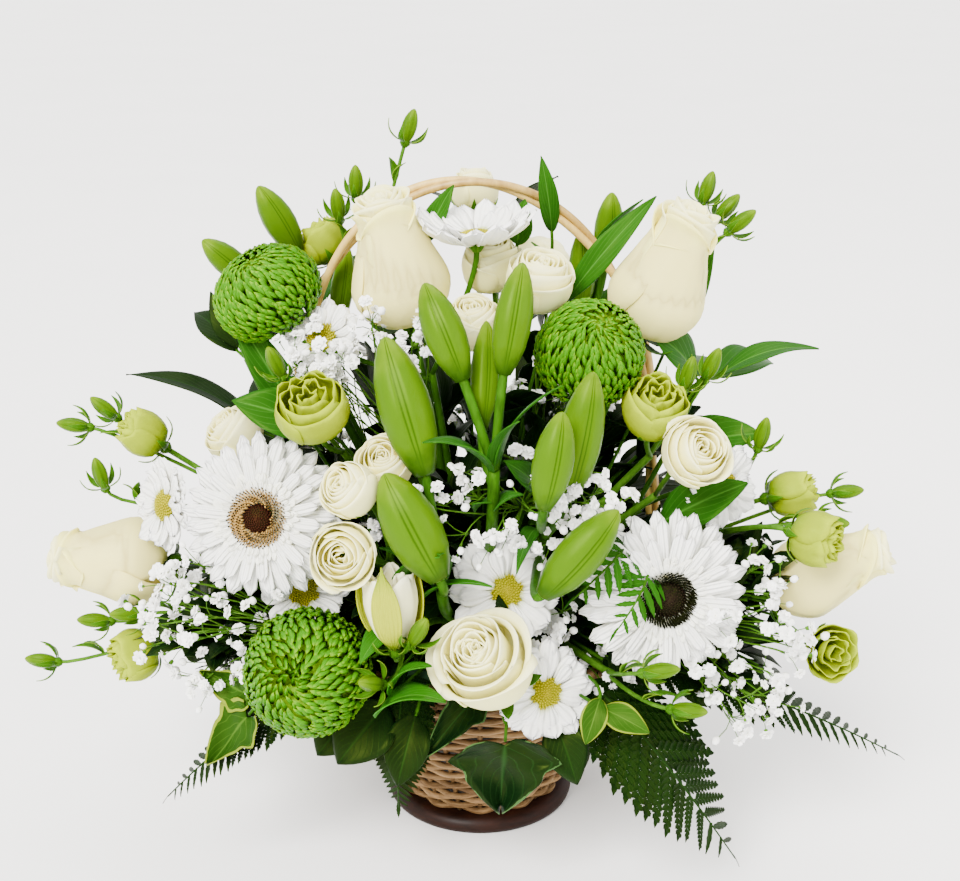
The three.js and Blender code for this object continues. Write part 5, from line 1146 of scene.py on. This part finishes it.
daisyLook = {"inner": 7, "thickness": 0.35, "eye": 8.2, "eyeLow": 2.4, "eyeHigh": 5.0, "eyeFlorets": 120,
             "floretSize": 1.25, "hip": 4.5, "sepal": 5, "stem": 2.0, "twig": 1.5}


def daisyPetal(row, radius, cupped, draw):
    inner = daisyLook["inner"]
    length = radius * row["length"] * draw.uniform(0.86, 1.03) - inner
    width = row["width"] * radius / 28 * draw.uniform(0.9, 1.08)
    twist, bend = draw.uniform(-1, 1), draw.uniform(-1, 1)

    def shape(s, t):
        tip = math.sqrt(max(0.0, 1 - max(0, (t - 0.78) / 0.225) ** 2))
        half = width / 2 * (0.36 + 0.64 * ease(0, 0.62, t)) * max(tip, 0.12)
        reach = inner + length * t * math.cos(cupped * 1.1 * t)
        z = row["lift"] * (1 - 0.3 * t) + length * math.sin(cupped * 1.1 * t) * t
        z += 1.0 * math.sin(math.pi * t) - 1.6 * t * t * (1 - cupped) + bend * 2.4 * t * t
        z += 0.35 * math.cos(3.0 * math.pi * s) * (0.5 + t) - 0.9 * s * s + twist * s * t * 1.3
        return Vector((reach + 0.7 * math.cos(2.2 * math.pi * s) * ease(0.8, 1, t), s * half, z))
    return shape


def makeDaisies():
    look = daisyLook
    eye = discPattern(look["eye"], look["eyeLow"], look["eyeHigh"], look["eyeFlorets"], look["floretSize"], 3)
    for i, spray in enumerate(daisies):
        draw = random.Random(160 + i)
        fork = Vector(spray["fork"])
        heading = headingTo(fork)
        bm = marked()
        routes = [(stemRun(fork, heading), look["stem"])]
        for k, (at, face, radius, cupped) in enumerate(spray["heads"]):
            face = Vector(face).normalized()
            place = aim(at, face, draw.uniform(0, 6))
            for j, row in enumerate(daisyRows):
                for n in range(row["count"]):
                    angle = 2 * math.pi * (n + 0.5 * j) / row["count"] + draw.uniform(-0.08, 0.08)
                    petal = sheetOf(daisyPetal(row, radius, cupped, draw), across=6, along=9,
                                    thickness=look["thickness"])
                    lay(bm, petal, place @ Matrix.Rotation(angle, 4, "Z"), tint=draw.uniform(0.2, 0.8))
            stamp(bm, eye, place)
            addHip(bm, Vector(at) + face * 0.6, face, look["hip"], look["sepal"], paint=2, count=9,
                   reflex=0.2)
            routes.append((twigRun(fork - heading * 5 * k, Vector(at) - face * 5, face), look["twig"]))
        addRods(bm, routes, fineness=2)
        looks = ("daisy", "stem", "sepal", "daisyEye")
        finishPiece(camel(spray["node"]), bm, [finishes[n] for n in looks], [spray["node"]])
    bpy.data.meshes.remove(eye)


# ferns

ferns = [  # each frond is where it leaves the foam, the place it arches over, its tip and its full width
    {"node": "fern_right", "entry": (38, -48),
     "fronds": [((66, -132, 150), (140, -126, 32), 86), ((112, -110, 152), (240, -72, 64), 40)]},
    {"node": "fern_left", "entry": (-38, -46), "look": "fernShade",
     "fronds": [((-92, -120, 152), (-174, -102, 56), 44), ((-44, -132, 150), (-44, -128, 66), 44)]},
    {"node": "fern_back", "entry": (-16, 52),
     "fronds": [((-56, 126, 168), (-130, 146, 70), 86), ((60, 126, 170), (134, 140, 76), 86)]}]
frondLook = {"pinnae": 15, "narrowPinnae": 24, "narrow": 50, "start": 0.3, "slant": 0.8, "leaflets": 9,
             "droop": 0.12, "simple": 19, "stem": 1.2, "tip": 0.4, "steps": 30}
sprigs = [  # the run of each bright sprig and its full width
    ([(70, -70, 196), (92, -130, 236), (46, -142, 196)], 34),
    ([(78, -70, 190), (100, -134, 222), (68, -146, 180)], 28)]


def toothedShape(length, width, teeth=3):
    # a leaflet along +Y with teeth down its sides
    def shape(s, t):
        saw = 1 - 0.3 * ((t * teeth) % 1)
        half = width / 2 * max(0.06, math.sin(math.pi * min(1, 0.14 + t * 0.84)) ** 0.8 * saw)
        return Vector((s * half, length * t, 0.14 * width * s * s - 0.12 * length * t * t))
    return shape


def pinnaPattern():
    # one side branch of a frond, one unit long, with toothed leaflets down both sides
    bm = marked()
    count = frondLook["leaflets"]
    for k in range(count):
        share = (k + 0.45) / (count + 0.9)
        reach = 0.19 * (1 - share) ** 0.6 + 0.03
        leaflet = sheetOf(toothedShape(reach, 0.11), across=2, along=7)
        for side in (-1, 1):
            grow = Vector((side * 0.72, 0.7, 0.05))
            stamp(bm, leaflet, frameOf(Vector((0, share - 0.025 * side, 0)), grow, up),
                  tint=0.3 + 0.5 * share)
        bpy.data.meshes.remove(leaflet)
    last = sheetOf(toothedShape(0.24, 0.1, 4), across=2, along=8)
    lay(bm, last, Matrix.Translation((0, 0.78, 0)), tint=0.85)
    addRods(bm, [([Vector((0, 0, 0)), Vector((0, 0.5, 0)), Vector((0, 0.95, 0))], [0.014, 0.010, 0.005])],
            fineness=0, paint=1, tint=0.5)
    return patternOf(bm)


def addFrond(bm, draw, points, width, pinnae, pinna, simple):
    look = frondLook
    steps = look["steps"]
    run = bezierRun(points, steps)
    addRods(bm, [(run, [mix(look["stem"], look["tip"], k / steps) for k in range(steps + 1)])], fineness=1)
    for k in range(pinnae):
        t = mix(look["start"], 0.985, (k / pinnae) ** 0.92)
        share = (t - look["start"]) / (1 - look["start"])
        at = bezier(points, t)
        forward = (bezier(points, min(1, t + 0.01)) - bezier(points, t - 0.01)).normalized()
        out = Vector((at.x, at.y, 0)).normalized() + up * 0.9
        side = out.cross(forward).normalized()
        lift = forward.cross(side).normalized()
        swell = 0.5 + 0.5 * math.sin(math.pi * min(1, share * 1.7 + 0.12) / 2)
        reach = width / 2 * 1.2 * swell * (1 - share ** 1.8) + 4
        for hand in (-1, 1):
            foot = at + forward * hand * 1.6
            grow = side * hand + forward * look["slant"]
            grow -= lift * look["droop"] * draw.uniform(0.4, 1.6)
            stamp(bm, simple if reach < look["simple"] else pinna,
                  frameOf(foot, grow, lift, reach * draw.uniform(0.94, 1.04)), tint=draw.uniform(0.1, 0.9))
    heading = (run[-1] - run[-2]).normalized()
    stamp(bm, simple, frameOf(run[-1] - heading * 3, heading, up, 9), tint=0.6)


def makeFerns():
    look = frondLook
    pinna = pinnaPattern()
    simple = sheetOf(toothedShape(1.0, 0.3, 4), across=2, along=12)
    for i, fern in enumerate(ferns):
        draw = random.Random(180 + i)
        bm = marked()
        for via, tip, width in fern["fronds"]:
            mouth = mouthFor((0, 0), fern["entry"])
            addRods(bm, [([mouth - up * bouquet["greenDepth"], mouth], look["stem"])], fineness=1)
            pinnae = look["pinnae"] if width > look["narrow"] else look["narrowPinnae"]
            addFrond(bm, draw, [mouth, Vector(via), Vector(tip)], width, pinnae, pinna, simple)
        finishPiece(camel(fern["node"]), bm, [finishes[fern.get("look", "fern")], finishes["shadedLeaf"]],
                    [fern["node"]])
    # bright sprigs lie over the edge of the right gerbera
    bm = marked()
    draw = random.Random(188)
    for points, width in sprigs:
        addFrond(bm, draw, [Vector(p) for p in points], width, 8, pinna, simple)
    finishPiece("fernSprig", bm, [finishes["sprig"], finishes["stem"]])
    bpy.data.meshes.remove(pinna)
    bpy.data.meshes.remove(simple)


# ivy and broad-leaved stems

leafyStems = [  # a line from the foam and its leaves: the joint they leave it at, tip and width
    {"node": "ivy_front", "entry": (6, -62), "line": [(6, -104, 132), (14, -128, 118)], "kind": "ivy",
     "leaves": [(1, (11, -124, 63), 54), (0, (-30, -134, 100), 22)]},
    {"node": "ivy_left", "entry": (-58, -38), "line": [(-98, -78, 132), (-118, -112, 122)], "kind": "edged",
     "leaves": [(1, (-148, -114, 84), 30), (1, (-152, -96, 132), 24)]},
    {"node": "leafy_left", "entry": (-50, -8), "line": [(-84, -12, 178), (-112, -13, 236), (-132, -8, 282)],
     "kind": "shadedLeaf",
     "leaves": [(1, (-202, -2, 271), 20), (2, (-152, 4, 318), 14), (1, (-96, -54, 272), 30),
                (2, (-92, 12, 302), 24), (1, (-160, 34, 222), 32), (2, (-166, 26, 300), 18),
                (0, (-60, -56, 212), 28), (1, (-126, 54, 262), 30)]},
    {"node": "leafy_right", "entry": (48, -8), "line": [(82, -12, 176), (110, -19, 232), (122, -24, 274)],
     "kind": "lance",
     "leaves": [(2, (191, -8, 288), 16), (1, (154, -44, 250), 28), (2, (92, -46, 308), 24),
                (1, (160, 26, 222), 32), (2, (172, 30, 268), 24), (0, (60, -56, 206), 28),
                (2, (118, 48, 266), 30)]},
    {"node": "leafy_back", "entry": (10, 62), "line": [(10, 92, 190), (6, 92, 262), (12, 62, 326)],
     "kind": "shadedLeaf",
     "leaves": [(0, (-56, 118, 204), 40), (0, (74, 118, 206), 40), (1, (-54, 104, 286), 38),
                (1, (66, 108, 284), 38), (2, (46, 66, 372), 26), (2, (-34, 74, 362), 26)]}]
leafyLook = {"stem": 1.6, "stalk": 0.9, "thickness": 0.5, "bluntFrom": 22}


def ivyShape(root, tip, width, lift):
    # a five-lobed ivy leaf, widest near the stalk, hanging from it
    root, tip = Vector(root), Vector(tip)
    length = (tip - root).length
    forward = (tip - root) / length
    side = forward.cross(lift).normalized()
    normal = side.cross(forward)
    keys = [(0, 0.34), (0.06, 0.62), (0.18, 0.78), (0.3, 1.0), (0.4, 0.72), (0.52, 0.66), (0.62, 0.52),
            (0.8, 0.3), (1, 0.02)]

    def shape(s, t):
        half = width * 0.56 * follow(keys, t)[0]
        notch = 0.12 * length * (1 - abs(s)) * (1 - ease(0, 0.3, t))
        wave = 0.03 * width * math.sin(7 * t + 3 * s)
        cup = 0.16 * width * s * s - 0.05 * length * t * t
        reach = length * t + notch - 0.06 * length * abs(s) * (1 - t)
        return root + forward * reach + side * s * half + normal * (cup + wave)
    return shape


def makeLeafyStems():
    look = leafyLook
    for i, stem in enumerate(leafyStems):
        draw = random.Random(200 + i)
        line = [Vector(p) for p in stem["line"]]
        mouth = mouthFor((0, 0), stem["entry"])
        lobed = stem["kind"] in ("ivy", "edged")
        bm = marked()
        run = bezierRun([mouth, *line], 16)
        addRods(bm, [([mouth - up * bouquet["greenDepth"]] + run, look["stem"])], fineness=2)
        stalks = []
        for joint, tip, width in stem["leaves"]:
            tip = Vector(tip)
            start = line[joint] if lobed else bezier([mouth, *line], (joint + 1) / len(line))
            root = start.lerp(tip, 0.16)
            stalks.append(([start, root + (tip - root) * 0.06], look["stalk"]))
            if lobed:
                shape = ivyShape(root, tip, width, Vector((tip.x * 0.006, -1, 0.35)))
            else:
                # the leaves at the front show their upper side to the front
                lift = Vector((0, -0.7, 0.7)) if tip.y < -30 else Vector((tip.x * 0.004, tip.y * 0.004, 1))
                shape = leafShape(root, tip, width, arch=0.12, fold=0.22, ripple=0.03, lift=lift,
                                  blunt=0.5 if width > look["bluntFrom"] else 0.0)
            addSheet(bm, shape, tint=draw.uniform(0.2, 0.8), across=12, along=20,
                     thickness=look["thickness"], paint=0)
        addRods(bm, stalks, fineness=1)
        finishPiece(camel(stem["node"]), bm, [finishes[stem["kind"]], finishes["stem"]],
                    [stem["node"]])


# baby's breath

breathSprays = [  # fork, middle of the cloud, half its size each way and how many twigs it has
    {"node": "babys_breath_left", "fork": (-96, -70, 140), "centre": (-142, -94, 156), "half": (42, 30, 44),
     "twigs": 36},
    {"node": "babys_breath_upper", "fork": (-40, -34, 236), "centre": (-62, -58, 300), "half": (42, 26, 28),
     "twigs": 26},
    {"node": "babys_breath_centre", "fork": (22, -84, 222), "centre": (22, -118, 240), "half": (54, 18, 24),
     "twigs": 30},
    {"node": "babys_breath_right", "fork": (104, -66, 138), "centre": (138, -106, 154),
     "half": (38, 28, 46), "twigs": 36}]
breathLook = {"floretsEach": 4, "opened": 0.62, "floret": 6.8, "bud": 3.4, "stem": 1.2, "twig": 0.4,
              "twiglet": 0.26, "spread": 13}  # opened is the share of florets that aren't buds


def puffPattern():
    # a ruffled double floret, half a unit in radius
    bm = marked()
    draw = random.Random(5)
    for row, (count, tilt, size) in enumerate(((5, 0.15, 0.5), (4, 0.7, 0.44), (3, 1.15, 0.34))):
        for k in range(count):
            turn = 2 * math.pi * (k + 0.4 * row) / count
            out = Vector((math.cos(turn) * math.cos(tilt), math.sin(turn) * math.cos(tilt), math.sin(tilt)))

            def shape(s, t):
                half = size * 0.52 * (0.3 + 0.7 * math.sin(math.pi * min(1, t * 0.8)))
                return Vector((s * half, size * t, 0.09 * math.sin(5 * s + 2 * t) * t - 0.12 * t * t))
            petal = sheetOf(shape, across=2, along=2)
            lay(bm, petal, frameOf(Vector((0, 0, 0)), out, up), tint=draw.uniform(0.2, 0.8))
    lay(bm, turnedOf([(0, -0.36), (0.13, -0.3), (0.16, -0.08), (0.05, 0.05)], 5, paint=1), tint=0.5)
    return patternOf(bm)


def inCloud(draw):
    # a place in a ball of radius 1
    while True:
        at = Vector((draw.uniform(-1, 1), draw.uniform(-1, 1), draw.uniform(-1, 1)))
        if at.length <= 1:
            return at


def addBreath(bm, draw, fork, centre, half, twigs, puff, bud):
    look = breathLook
    stalks, twiglets = [], []
    fork, centre = Vector(fork), Vector(centre)
    for _ in range(twigs):
        spread = inCloud(draw)
        end = centre + Vector((spread.x * half[0], spread.y * half[1], spread.z * half[2]))
        away = (end - fork).normalized()
        knee = fork.lerp(end, 0.5) + up * draw.uniform(0, 14) + inCloud(draw) * 16
        stalks.append((bezierRun([fork, knee, end], 6), look["twig"]))
        for _ in range(look["floretsEach"]):
            way = (away + inCloud(draw) * 1.5 + up * 0.4 + Vector((0, -0.3, 0))).normalized()
            tip = end + way * look["spread"] * draw.uniform(0.4, 1.3)
            twiglets.append((bezierRun([end - away * 4, end + away * 3, tip], 3), look["twiglet"]))
            if draw.random() < look["opened"]:
                place = aim(tip + way, way, draw.uniform(0, 6), look["floret"] * draw.uniform(0.75, 1.25))
                stamp(bm, puff, place, tint=draw.uniform(0.2, 0.9))
            else:
                place = aim(tip, way, 0, look["bud"] * draw.uniform(0.8, 1.4))
                stamp(bm, bud, place, tint=draw.uniform(0.2, 0.9))
    addRods(bm, stalks, fineness=0)
    addRods(bm, twiglets, fineness=0)


def breathPatterns():
    bud = turnedOf([(0, -0.6), (0.42, -0.3), (0.52, 0.1), (0.34, 0.5), (0, 0.66)], 6)
    return puffPattern(), bud


def makeBabysBreath():
    puff, bud = breathPatterns()
    for i, spray in enumerate(breathSprays):
        draw = random.Random(220 + i)
        bm = marked()
        fork = Vector(spray["fork"])
        addRods(bm, [(stemRun(fork, headingTo(fork)), breathLook["stem"])], fineness=1)
        addBreath(bm, draw, fork, spray["centre"], spray["half"], spray["twigs"], puff, bud)
        finishPiece(camel(spray["node"]), bm, [finishes["breath"], finishes["paleStem"]],
                    [spray["node"]])
    bpy.data.meshes.remove(puff)
    bpy.data.meshes.remove(bud)


# filling: leaves in near-black painted shade and loose breath between the stems, as a florist packs a basket

filling = {"centre": (0, 2, 120), "half": (138, 98, 188),  # middle and half size of the whole bouquet
           "stems": 84, "leavesEach": 8, "leafLength": (26, 48), "leafWidth": (13, 21), "twig": 1.1,
           "wing": (130, -60, 148), "wingHalf": (44, 32, 40), "wingStems": 44, "wingLeaves": 9,
           "wingLength": (18, 32), "wingWidth": (9, 15), "wingTwig": 0.8,
           "skirt": 34, "skirtTurn": (28, 100), "skirtReach": (96, 112), "skirtTop": (116, 134),
           "skirtDrop": (18, 40), "skirtWidth": (14, 22), "looseTwig": 1.0,
           "clouds": 24, "cloudHalf": (24, 20, 20), "cloudTwigs": 9}
looseLeaves = [  # root, tip, width and finish of single leaves that stand or hang free
    ((40, -112, 112), (52, -128, 80), 24, 2), ((-50, -112, 120), (-76, -130, 94), 34, 2),
    ((-34, -118, 118), (-44, -136, 84), 24, 2), ((-66, -104, 114), (-88, -118, 92), 28, 2),
    ((63, -128, 133), (55, -140, 112), 14, 3), ((64, -130, 128), (88, -142, 120), 15, 3),
    ((40, 2, 352), (33, -6, 396), 11, 0), ((46, -34, 322), (94, -26, 378), 14, 0),
    ((-84, -70, 262), (-130, -76, 280), 26, 0), ((-96, -40, 250), (-136, -30, 318), 20, 0),
    ((-30, -24, 352), (-14, -26, 384), 12, 0), ((20, -20, 350), (24, -24, 376), 14, 0),
    ((104, -30, 300), (126, -24, 356), 18, 0), ((30, -92, 236), (12, -118, 262), 14, 0),
    ((96, -84, 214), (140, -92, 240), 24, 0)]


def fillPoint(draw, low=0.6, high=0.95):
    # a place under the outer blooms, from the rim up to below the handle
    c, half = filling["centre"], filling["half"]
    turn = draw.uniform(0, 2 * math.pi)
    rise = draw.uniform(-0.12, 0.97)
    reach = draw.uniform(low, high) * math.sqrt(1 - rise * rise)
    return Vector((c[0] + half[0] * reach * math.cos(turn), c[1] + half[1] * reach * math.sin(turn),
                   c[2] + half[2] * rise * draw.uniform(0.75, 1.0)))


def addInnerLeaves(bm, draw):
    # short stems with leaves in near-black painted shade, under the outer blooms
    look = filling
    routes = []
    for _ in range(look["stems"]):
        tip = fillPoint(draw)
        mouth = mouthFor(tip)
        rise = (mouth - bouquet["focus"]).normalized()
        points = [mouth, mouth + rise * 0.4 * (tip - mouth).length, tip]
        routes.append((bezierRun(points, 10), look["twig"]))
        for k in range(look["leavesEach"]):
            at = bezier(points, mix(0.3, 1.0, (k + 1) / look["leavesEach"]))
            out = (Vector((at.x, at.y, (at.z - 120) * 0.8)).normalized() + inCloud(draw) * 0.9).normalized()
            length = draw.uniform(*look["leafLength"])
            lift = (Vector((at.x * 0.3, at.y * 0.3, 60)) + inCloud(draw) * 40).normalized()
            shape = leafShape(at, at + out * length, draw.uniform(*look["leafWidth"]),
                              arch=draw.uniform(0.05, 0.2), fold=0.2, ripple=0.03, lift=lift, blunt=0.5)
            addSheet(bm, shape, tint=draw.uniform(0.0, 0.9), across=4, along=7, thickness=0.4, paint=0)
    return routes


def addWings(bm, draw):
    # thin leafy twigs behind the breath at both sides
    look = filling
    spot, half = look["wing"], look["wingHalf"]
    routes = []
    for n in range(2 * look["wingStems"]):
        hand = 1 if n % 2 else -1
        spread = inCloud(draw)
        tip = Vector((hand * (spot[0] + spread.x * half[0]), spot[1] + spread.y * half[1],
                      spot[2] + spread.z * half[2]))
        mouth = mouthFor(tip)
        points = [mouth, mouth.lerp(tip, 0.5) + up * 26, tip]
        routes.append((bezierRun(points, 10), look["wingTwig"]))
        for k in range(look["wingLeaves"]):
            at = bezier(points, mix(0.4, 1.0, k / (look["wingLeaves"] - 1)))
            out = ((tip - mouth).normalized() + inCloud(draw) * 1.2).normalized()
            shape = leafShape(at, at + out * draw.uniform(*look["wingLength"]),
                              draw.uniform(*look["wingWidth"]), arch=0.12, fold=0.2,
                              lift=(up + inCloud(draw) * 0.8).normalized(), blunt=0.4)
            addSheet(bm, shape, tint=draw.uniform(0.0, 0.9), across=2, along=5, thickness=0.3, paint=0)
    return routes


def addSkirt(bm, draw):
    # leaves that hang over the rim at both sides of the front, near-black as painted shade under the bouquet
    look = filling
    routes = []
    for _ in range(look["skirt"]):
        turn = math.radians(draw.choice((-1, 1)) * draw.uniform(*look["skirtTurn"]) - 90)
        reach = draw.uniform(*look["skirtReach"])
        root = Vector((math.cos(turn) * reach, math.sin(turn) * reach, draw.uniform(*look["skirtTop"])))
        hang = Vector((math.cos(turn) * 16, math.sin(turn) * 16, -draw.uniform(*look["skirtDrop"])))
        tip = root + hang + inCloud(draw) * 12
        shape = leafShape(root, tip, draw.uniform(*look["skirtWidth"]), arch=0.1, fold=0.2, ripple=0.03,
                          lift=Vector((math.cos(turn), math.sin(turn), 0.3)), blunt=0.5)
        addSheet(bm, shape, tint=draw.uniform(0.0, 0.6), across=4, along=7, thickness=0.4, paint=0)
        mouth = mouthFor(root)
        routes.append(([mouth, root.lerp(mouth, 0.4) + up * 8, root + (tip - root) * 0.03],
                       look["looseTwig"]))
    return routes


def makeFilling():
    look = filling
    draw = random.Random(300)
    bm = marked()
    routes = addInnerLeaves(bm, draw) + addWings(bm, draw) + addSkirt(bm, draw)
    addRods(bm, routes, fineness=1)
    finishPiece("fillingLeaves", bm, [finishes["shadedLeaf"], finishes["stem"]])

    bm = marked()
    for root, tip, width, paint in looseLeaves:
        root, tip = Vector(root), Vector(tip)
        lift = Vector((0, -0.8, 0.6)) if tip.y < 0 else up
        shape = leafShape(root, tip, width, arch=0.1, fold=0.25, ripple=0.05, lift=lift, blunt=0.3)
        addSheet(bm, shape, tint=draw.uniform(0.3, 0.9), across=8, along=16, thickness=0.5, paint=paint)
        run = bezierRun([mouthFor(root), root - (tip - root) * 0.6, root + (tip - root) * 0.04], 10)
        addRods(bm, [(run, look["looseTwig"])], fineness=1)
    finishPiece("looseLeaves", bm, [finishes[n] for n in ("lance", "stem", "shadedLeaf", "edged")])

    puff, bud = breathPatterns()
    bm = marked()
    for _ in range(look["clouds"]):
        at = fillPoint(draw, 0.8, 1.0)
        addBreath(bm, draw, mouthFor(at).lerp(at, 0.5), at, look["cloudHalf"], look["cloudTwigs"], puff, bud)
    finishPiece("fillingBreath", bm, [finishes["breath"], finishes["paleStem"]])
    bpy.data.meshes.remove(puff)
    bpy.data.meshes.remove(bud)


# basket

basket = {"footRadius": 57, "footHeight": 10, "wallFoot": 48, "rimRadius": 99, "wallTop": 110,
          "wallThickness": 5, "coreDepth": 3.4, "relief": 1.7, "stakes": 24, "rows": 21, "rod": 1.9,
          "weave": 2.0, "stakeRadius": 1.5, "rimThickness": 10, "rimGap": 0.3, "strands": 3, "strand": 2.4,
          "plaits": 18}
handle = {"halfWidth": 100, "springHeight": 250, "top": 381, "lean": -7, "leanFrom": 180, "legFoot": 84,
          "gap": 0.3, "thickness": 8.6, "canes": 2, "turns": 3.5, "steps": 14}


def wallRadius(z):
    share = (z - basket["footHeight"]) / (basket["wallTop"] - basket["footHeight"])
    return mix(basket["wallFoot"], basket["rimRadius"], share)


def makeFoot():
    r, height = basket["footRadius"], basket["footHeight"]
    foot = turnedOf([(0, 0), (r - 3, 0), (r - 0.8, 0.8), (r, 3), (r - 0.4, 6.2), (r - 2.6, 8.8),
                     (r - 5, height), (0, height)], 120)
    bm = marked()
    lay(bm, foot, tint=0.5)
    finishPiece("basketFoot", bm, [finishes["foot"]], ["basket_foot"])


def makeWall():
    b = basket
    bm = marked()
    height = b["wallTop"] - b["footHeight"]
    # a near-black core closes the wall behind the weave, as painted shade in the gaps between the rods
    inside, outside = b["wallThickness"], b["coreDepth"]
    core = turnedOf([(b["wallFoot"] - inside, 10.2), (b["wallFoot"] - outside, 10.2),
                     (b["rimRadius"] - outside, b["wallTop"]), (b["rimRadius"] - inside, b["wallTop"]),
                     (b["wallFoot"] - inside, 10.2)], 96, paint=1)
    lay(bm, core, tint=0.3)
    draw = random.Random(8)
    stakes = []
    for k in range(b["stakes"]):
        angle = 2 * math.pi * k / b["stakes"]
        out = Vector((math.cos(angle), math.sin(angle), 0))
        line = [out * (wallRadius(z) - b["relief"]) + up * z for z in (10.5, 60, 109.5)]
        stakes.append((line, b["stakeRadius"]))
    addRods(bm, stakes, fineness=2, paint=0, tint=0.25)
    steps = b["stakes"] * 10
    for row in range(b["rows"]):
        z = b["footHeight"] + height * (row + 0.5) / b["rows"]
        phase, wobble = math.pi * (row % 2), draw.uniform(0, 6)
        line = []
        for k in range(steps):
            angle = 2 * math.pi * k / steps
            over = math.cos(angle * b["stakes"] / 2 + phase)
            r = wallRadius(z) - 1.2 + b["weave"] * over
            lift = 0.35 * math.sin(angle * 3 + wobble) + 0.25 * math.sin(angle * 7 + 2 * wobble)
            line.append(Vector((r * math.cos(angle), r * math.sin(angle), z + lift)))
        addRods(bm, [(line, b["rod"] * draw.uniform(0.92, 1.04))], fineness=2, paint=0, closed=True,
                tint=draw.uniform(0.15, 0.85))
    finishPiece("wovenWall", bm, [finishes["wicker"], finishes["core"]], ["basket_wall"])


def makeRim():
    b = basket
    bm = marked()
    centre = b["rimRadius"] - b["wallThickness"] / 2
    level = b["wallTop"] + b["rimGap"] + b["rimThickness"] / 2
    steps = b["plaits"] * 16
    for k in range(b["strands"]):
        line = []
        for n in range(steps):
            angle = 2 * math.pi * n / steps
            turn = b["plaits"] * angle + 2 * math.pi * k / b["strands"]
            r = centre + 2.6 * math.cos(turn)
            line.append(Vector((r * math.cos(angle), r * math.sin(angle), level + 2.2 * math.sin(2 * turn))))
        addRods(bm, [(line, b["strand"])], fineness=2, paint=0, closed=True, tint=0.3 + 0.2 * k)
    finishPiece("plaitedRim", bm, [finishes["wicker"]], ["basket_rim"])


def makeBasket():
    makeFoot()
    makeWall()
    makeRim()


def hoopLine():
    # up one leg outside the wall and the rim, over the top and down the other leg
    b, h = basket, handle
    low, steps = h["leanFrom"], h["steps"]
    outside = b["rimRadius"] - b["wallThickness"] / 2 + b["rimThickness"] / 2 + h["thickness"] / 2 + h["gap"]
    hug = wallRadius(h["legFoot"]) + b["relief"] + h["thickness"] / 2 + h["gap"]
    leg = [(hug, h["legFoot"]), (outside, b["wallTop"] + 3), (mix(outside, h["halfWidth"], 0.6), low)]
    arch = [(h["halfWidth"] * math.cos(math.pi * i / steps),
             h["springHeight"] + (h["top"] - h["springHeight"]) * math.sin(math.pi * i / steps))
            for i in range(steps + 1)]
    line = leg + arch + [(-x, z) for x, z in reversed(leg)]
    return [Vector((x + h["lean"] * max(0, (z - low) / (h["top"] - low)), 0, z)) for x, z in line]


def smoothRun(points, each=12):
    # a smooth line through the points
    out = []
    padded = [2 * points[0] - points[1], *points, 2 * points[-1] - points[-2]]
    for a, b, c, d in zip(padded, padded[1:], padded[2:], padded[3:]):
        for k in range(each):
            t = k / each
            out.append(0.5 * (2 * b + (c - a) * t + (2 * a - 5 * b + 4 * c - d) * t * t
                              + (3 * b - a - 3 * c + d) * t ** 3))
    return out + [points[-1].copy()]


def makeHandle():
    # two canes wound round each other along the hoop
    run = smoothRun(hoopLine())
    across = Vector((0, 1, 0))
    lengths = [0.0]
    for a, b in zip(run, run[1:]):
        lengths.append(lengths[-1] + (b - a).length)
    bm = marked()
    rod = handle["thickness"] / 4
    for k in range(handle["canes"]):
        line = []
        for i, at in enumerate(run):
            along = (run[min(i + 1, len(run) - 1)] - run[max(i - 1, 0)]).normalized()
            side = along.cross(across).normalized()
            turn = 2 * math.pi * handle["turns"] * lengths[i] / lengths[-1] + math.pi * k
            line.append(at + (side * math.cos(turn) + across * math.sin(turn)) * rod)
        addRods(bm, [(line, rod * 1.04)], fineness=3, paint=0, tint=0.4 + 0.3 * k)
    finishPiece("twistedHandle", bm, [finishes["cane"]], ["basket_handle"])


# liner and foam

linerProfile = [(0, 10.3), (30, 10.3), (38, 10.6), (50, 28), (62, 50), (73, 72), (84, 103), (84, 104),
                (82.4, 104), (71.5, 73), (60.5, 51), (48.5, 29), (37, 12), (30, 11.8), (0, 11.8)]
foamProfile = [(0, 12.4), (34, 12.4), (35, 13), (46, 35), (58, 60), (68, 84), (76.5, 104), (76.5, 107),
               (74, 111), (60, 111.6), (40, 111.6), (20, 111.6), (0, 111.6)]
foam = {"fineness": 0.22, "depth": 0.6, "seed": 4}


def crease(at):
    # the film is creased where it is tucked in between the foam and the wall
    angle = math.atan2(at.y, at.x)
    share = ease(20, 104, at.z)
    wave = (1.2 * math.sin(23 * angle) + 0.7 * math.sin(41 * angle + 1)) * share
    r = math.hypot(at.x, at.y)
    return at if r < 1 else Vector((at.x * (1 + wave / r), at.y * (1 + wave / r), at.z))


def crumb(at):
    # soft dents all over the foam
    return at + noise.noise_vector(at * foam["fineness"]) * foam["depth"]


def makeLinerAndFoam():
    bm = marked()
    lay(bm, turnedOf(linerProfile, 180, crease), tint=0.5)
    finishPiece("creasedLiner", bm, [finishes["film"]], ["liner"])
    noise.seed_set(foam["seed"])  # without a seed, this noise is another at each run
    bm = marked()
    lay(bm, turnedOf(foamProfile, 90, crumb), tint=0.5)
    finishPiece("foamBlock", bm, [finishes["foam"]], ["foam_block"])


# the whole arrangement

stages = [("studio", makeStudio), ("basket", makeBasket), ("handle", makeHandle),
          ("liner and foam", makeLinerAndFoam), ("large roses", makeLargeRoses), ("gerberas", makeGerberas),
          ("pompons", makePompons), ("lily buds", makeLilies), ("sprays", makeSprays),
          ("daisies", makeDaisies), ("ferns", makeFerns), ("leafy stems", makeLeafyStems),
          ("baby's breath", makeBabysBreath), ("filling", makeFilling)]
for label, make in stages:
    make()
    print("made", label, flush=True)
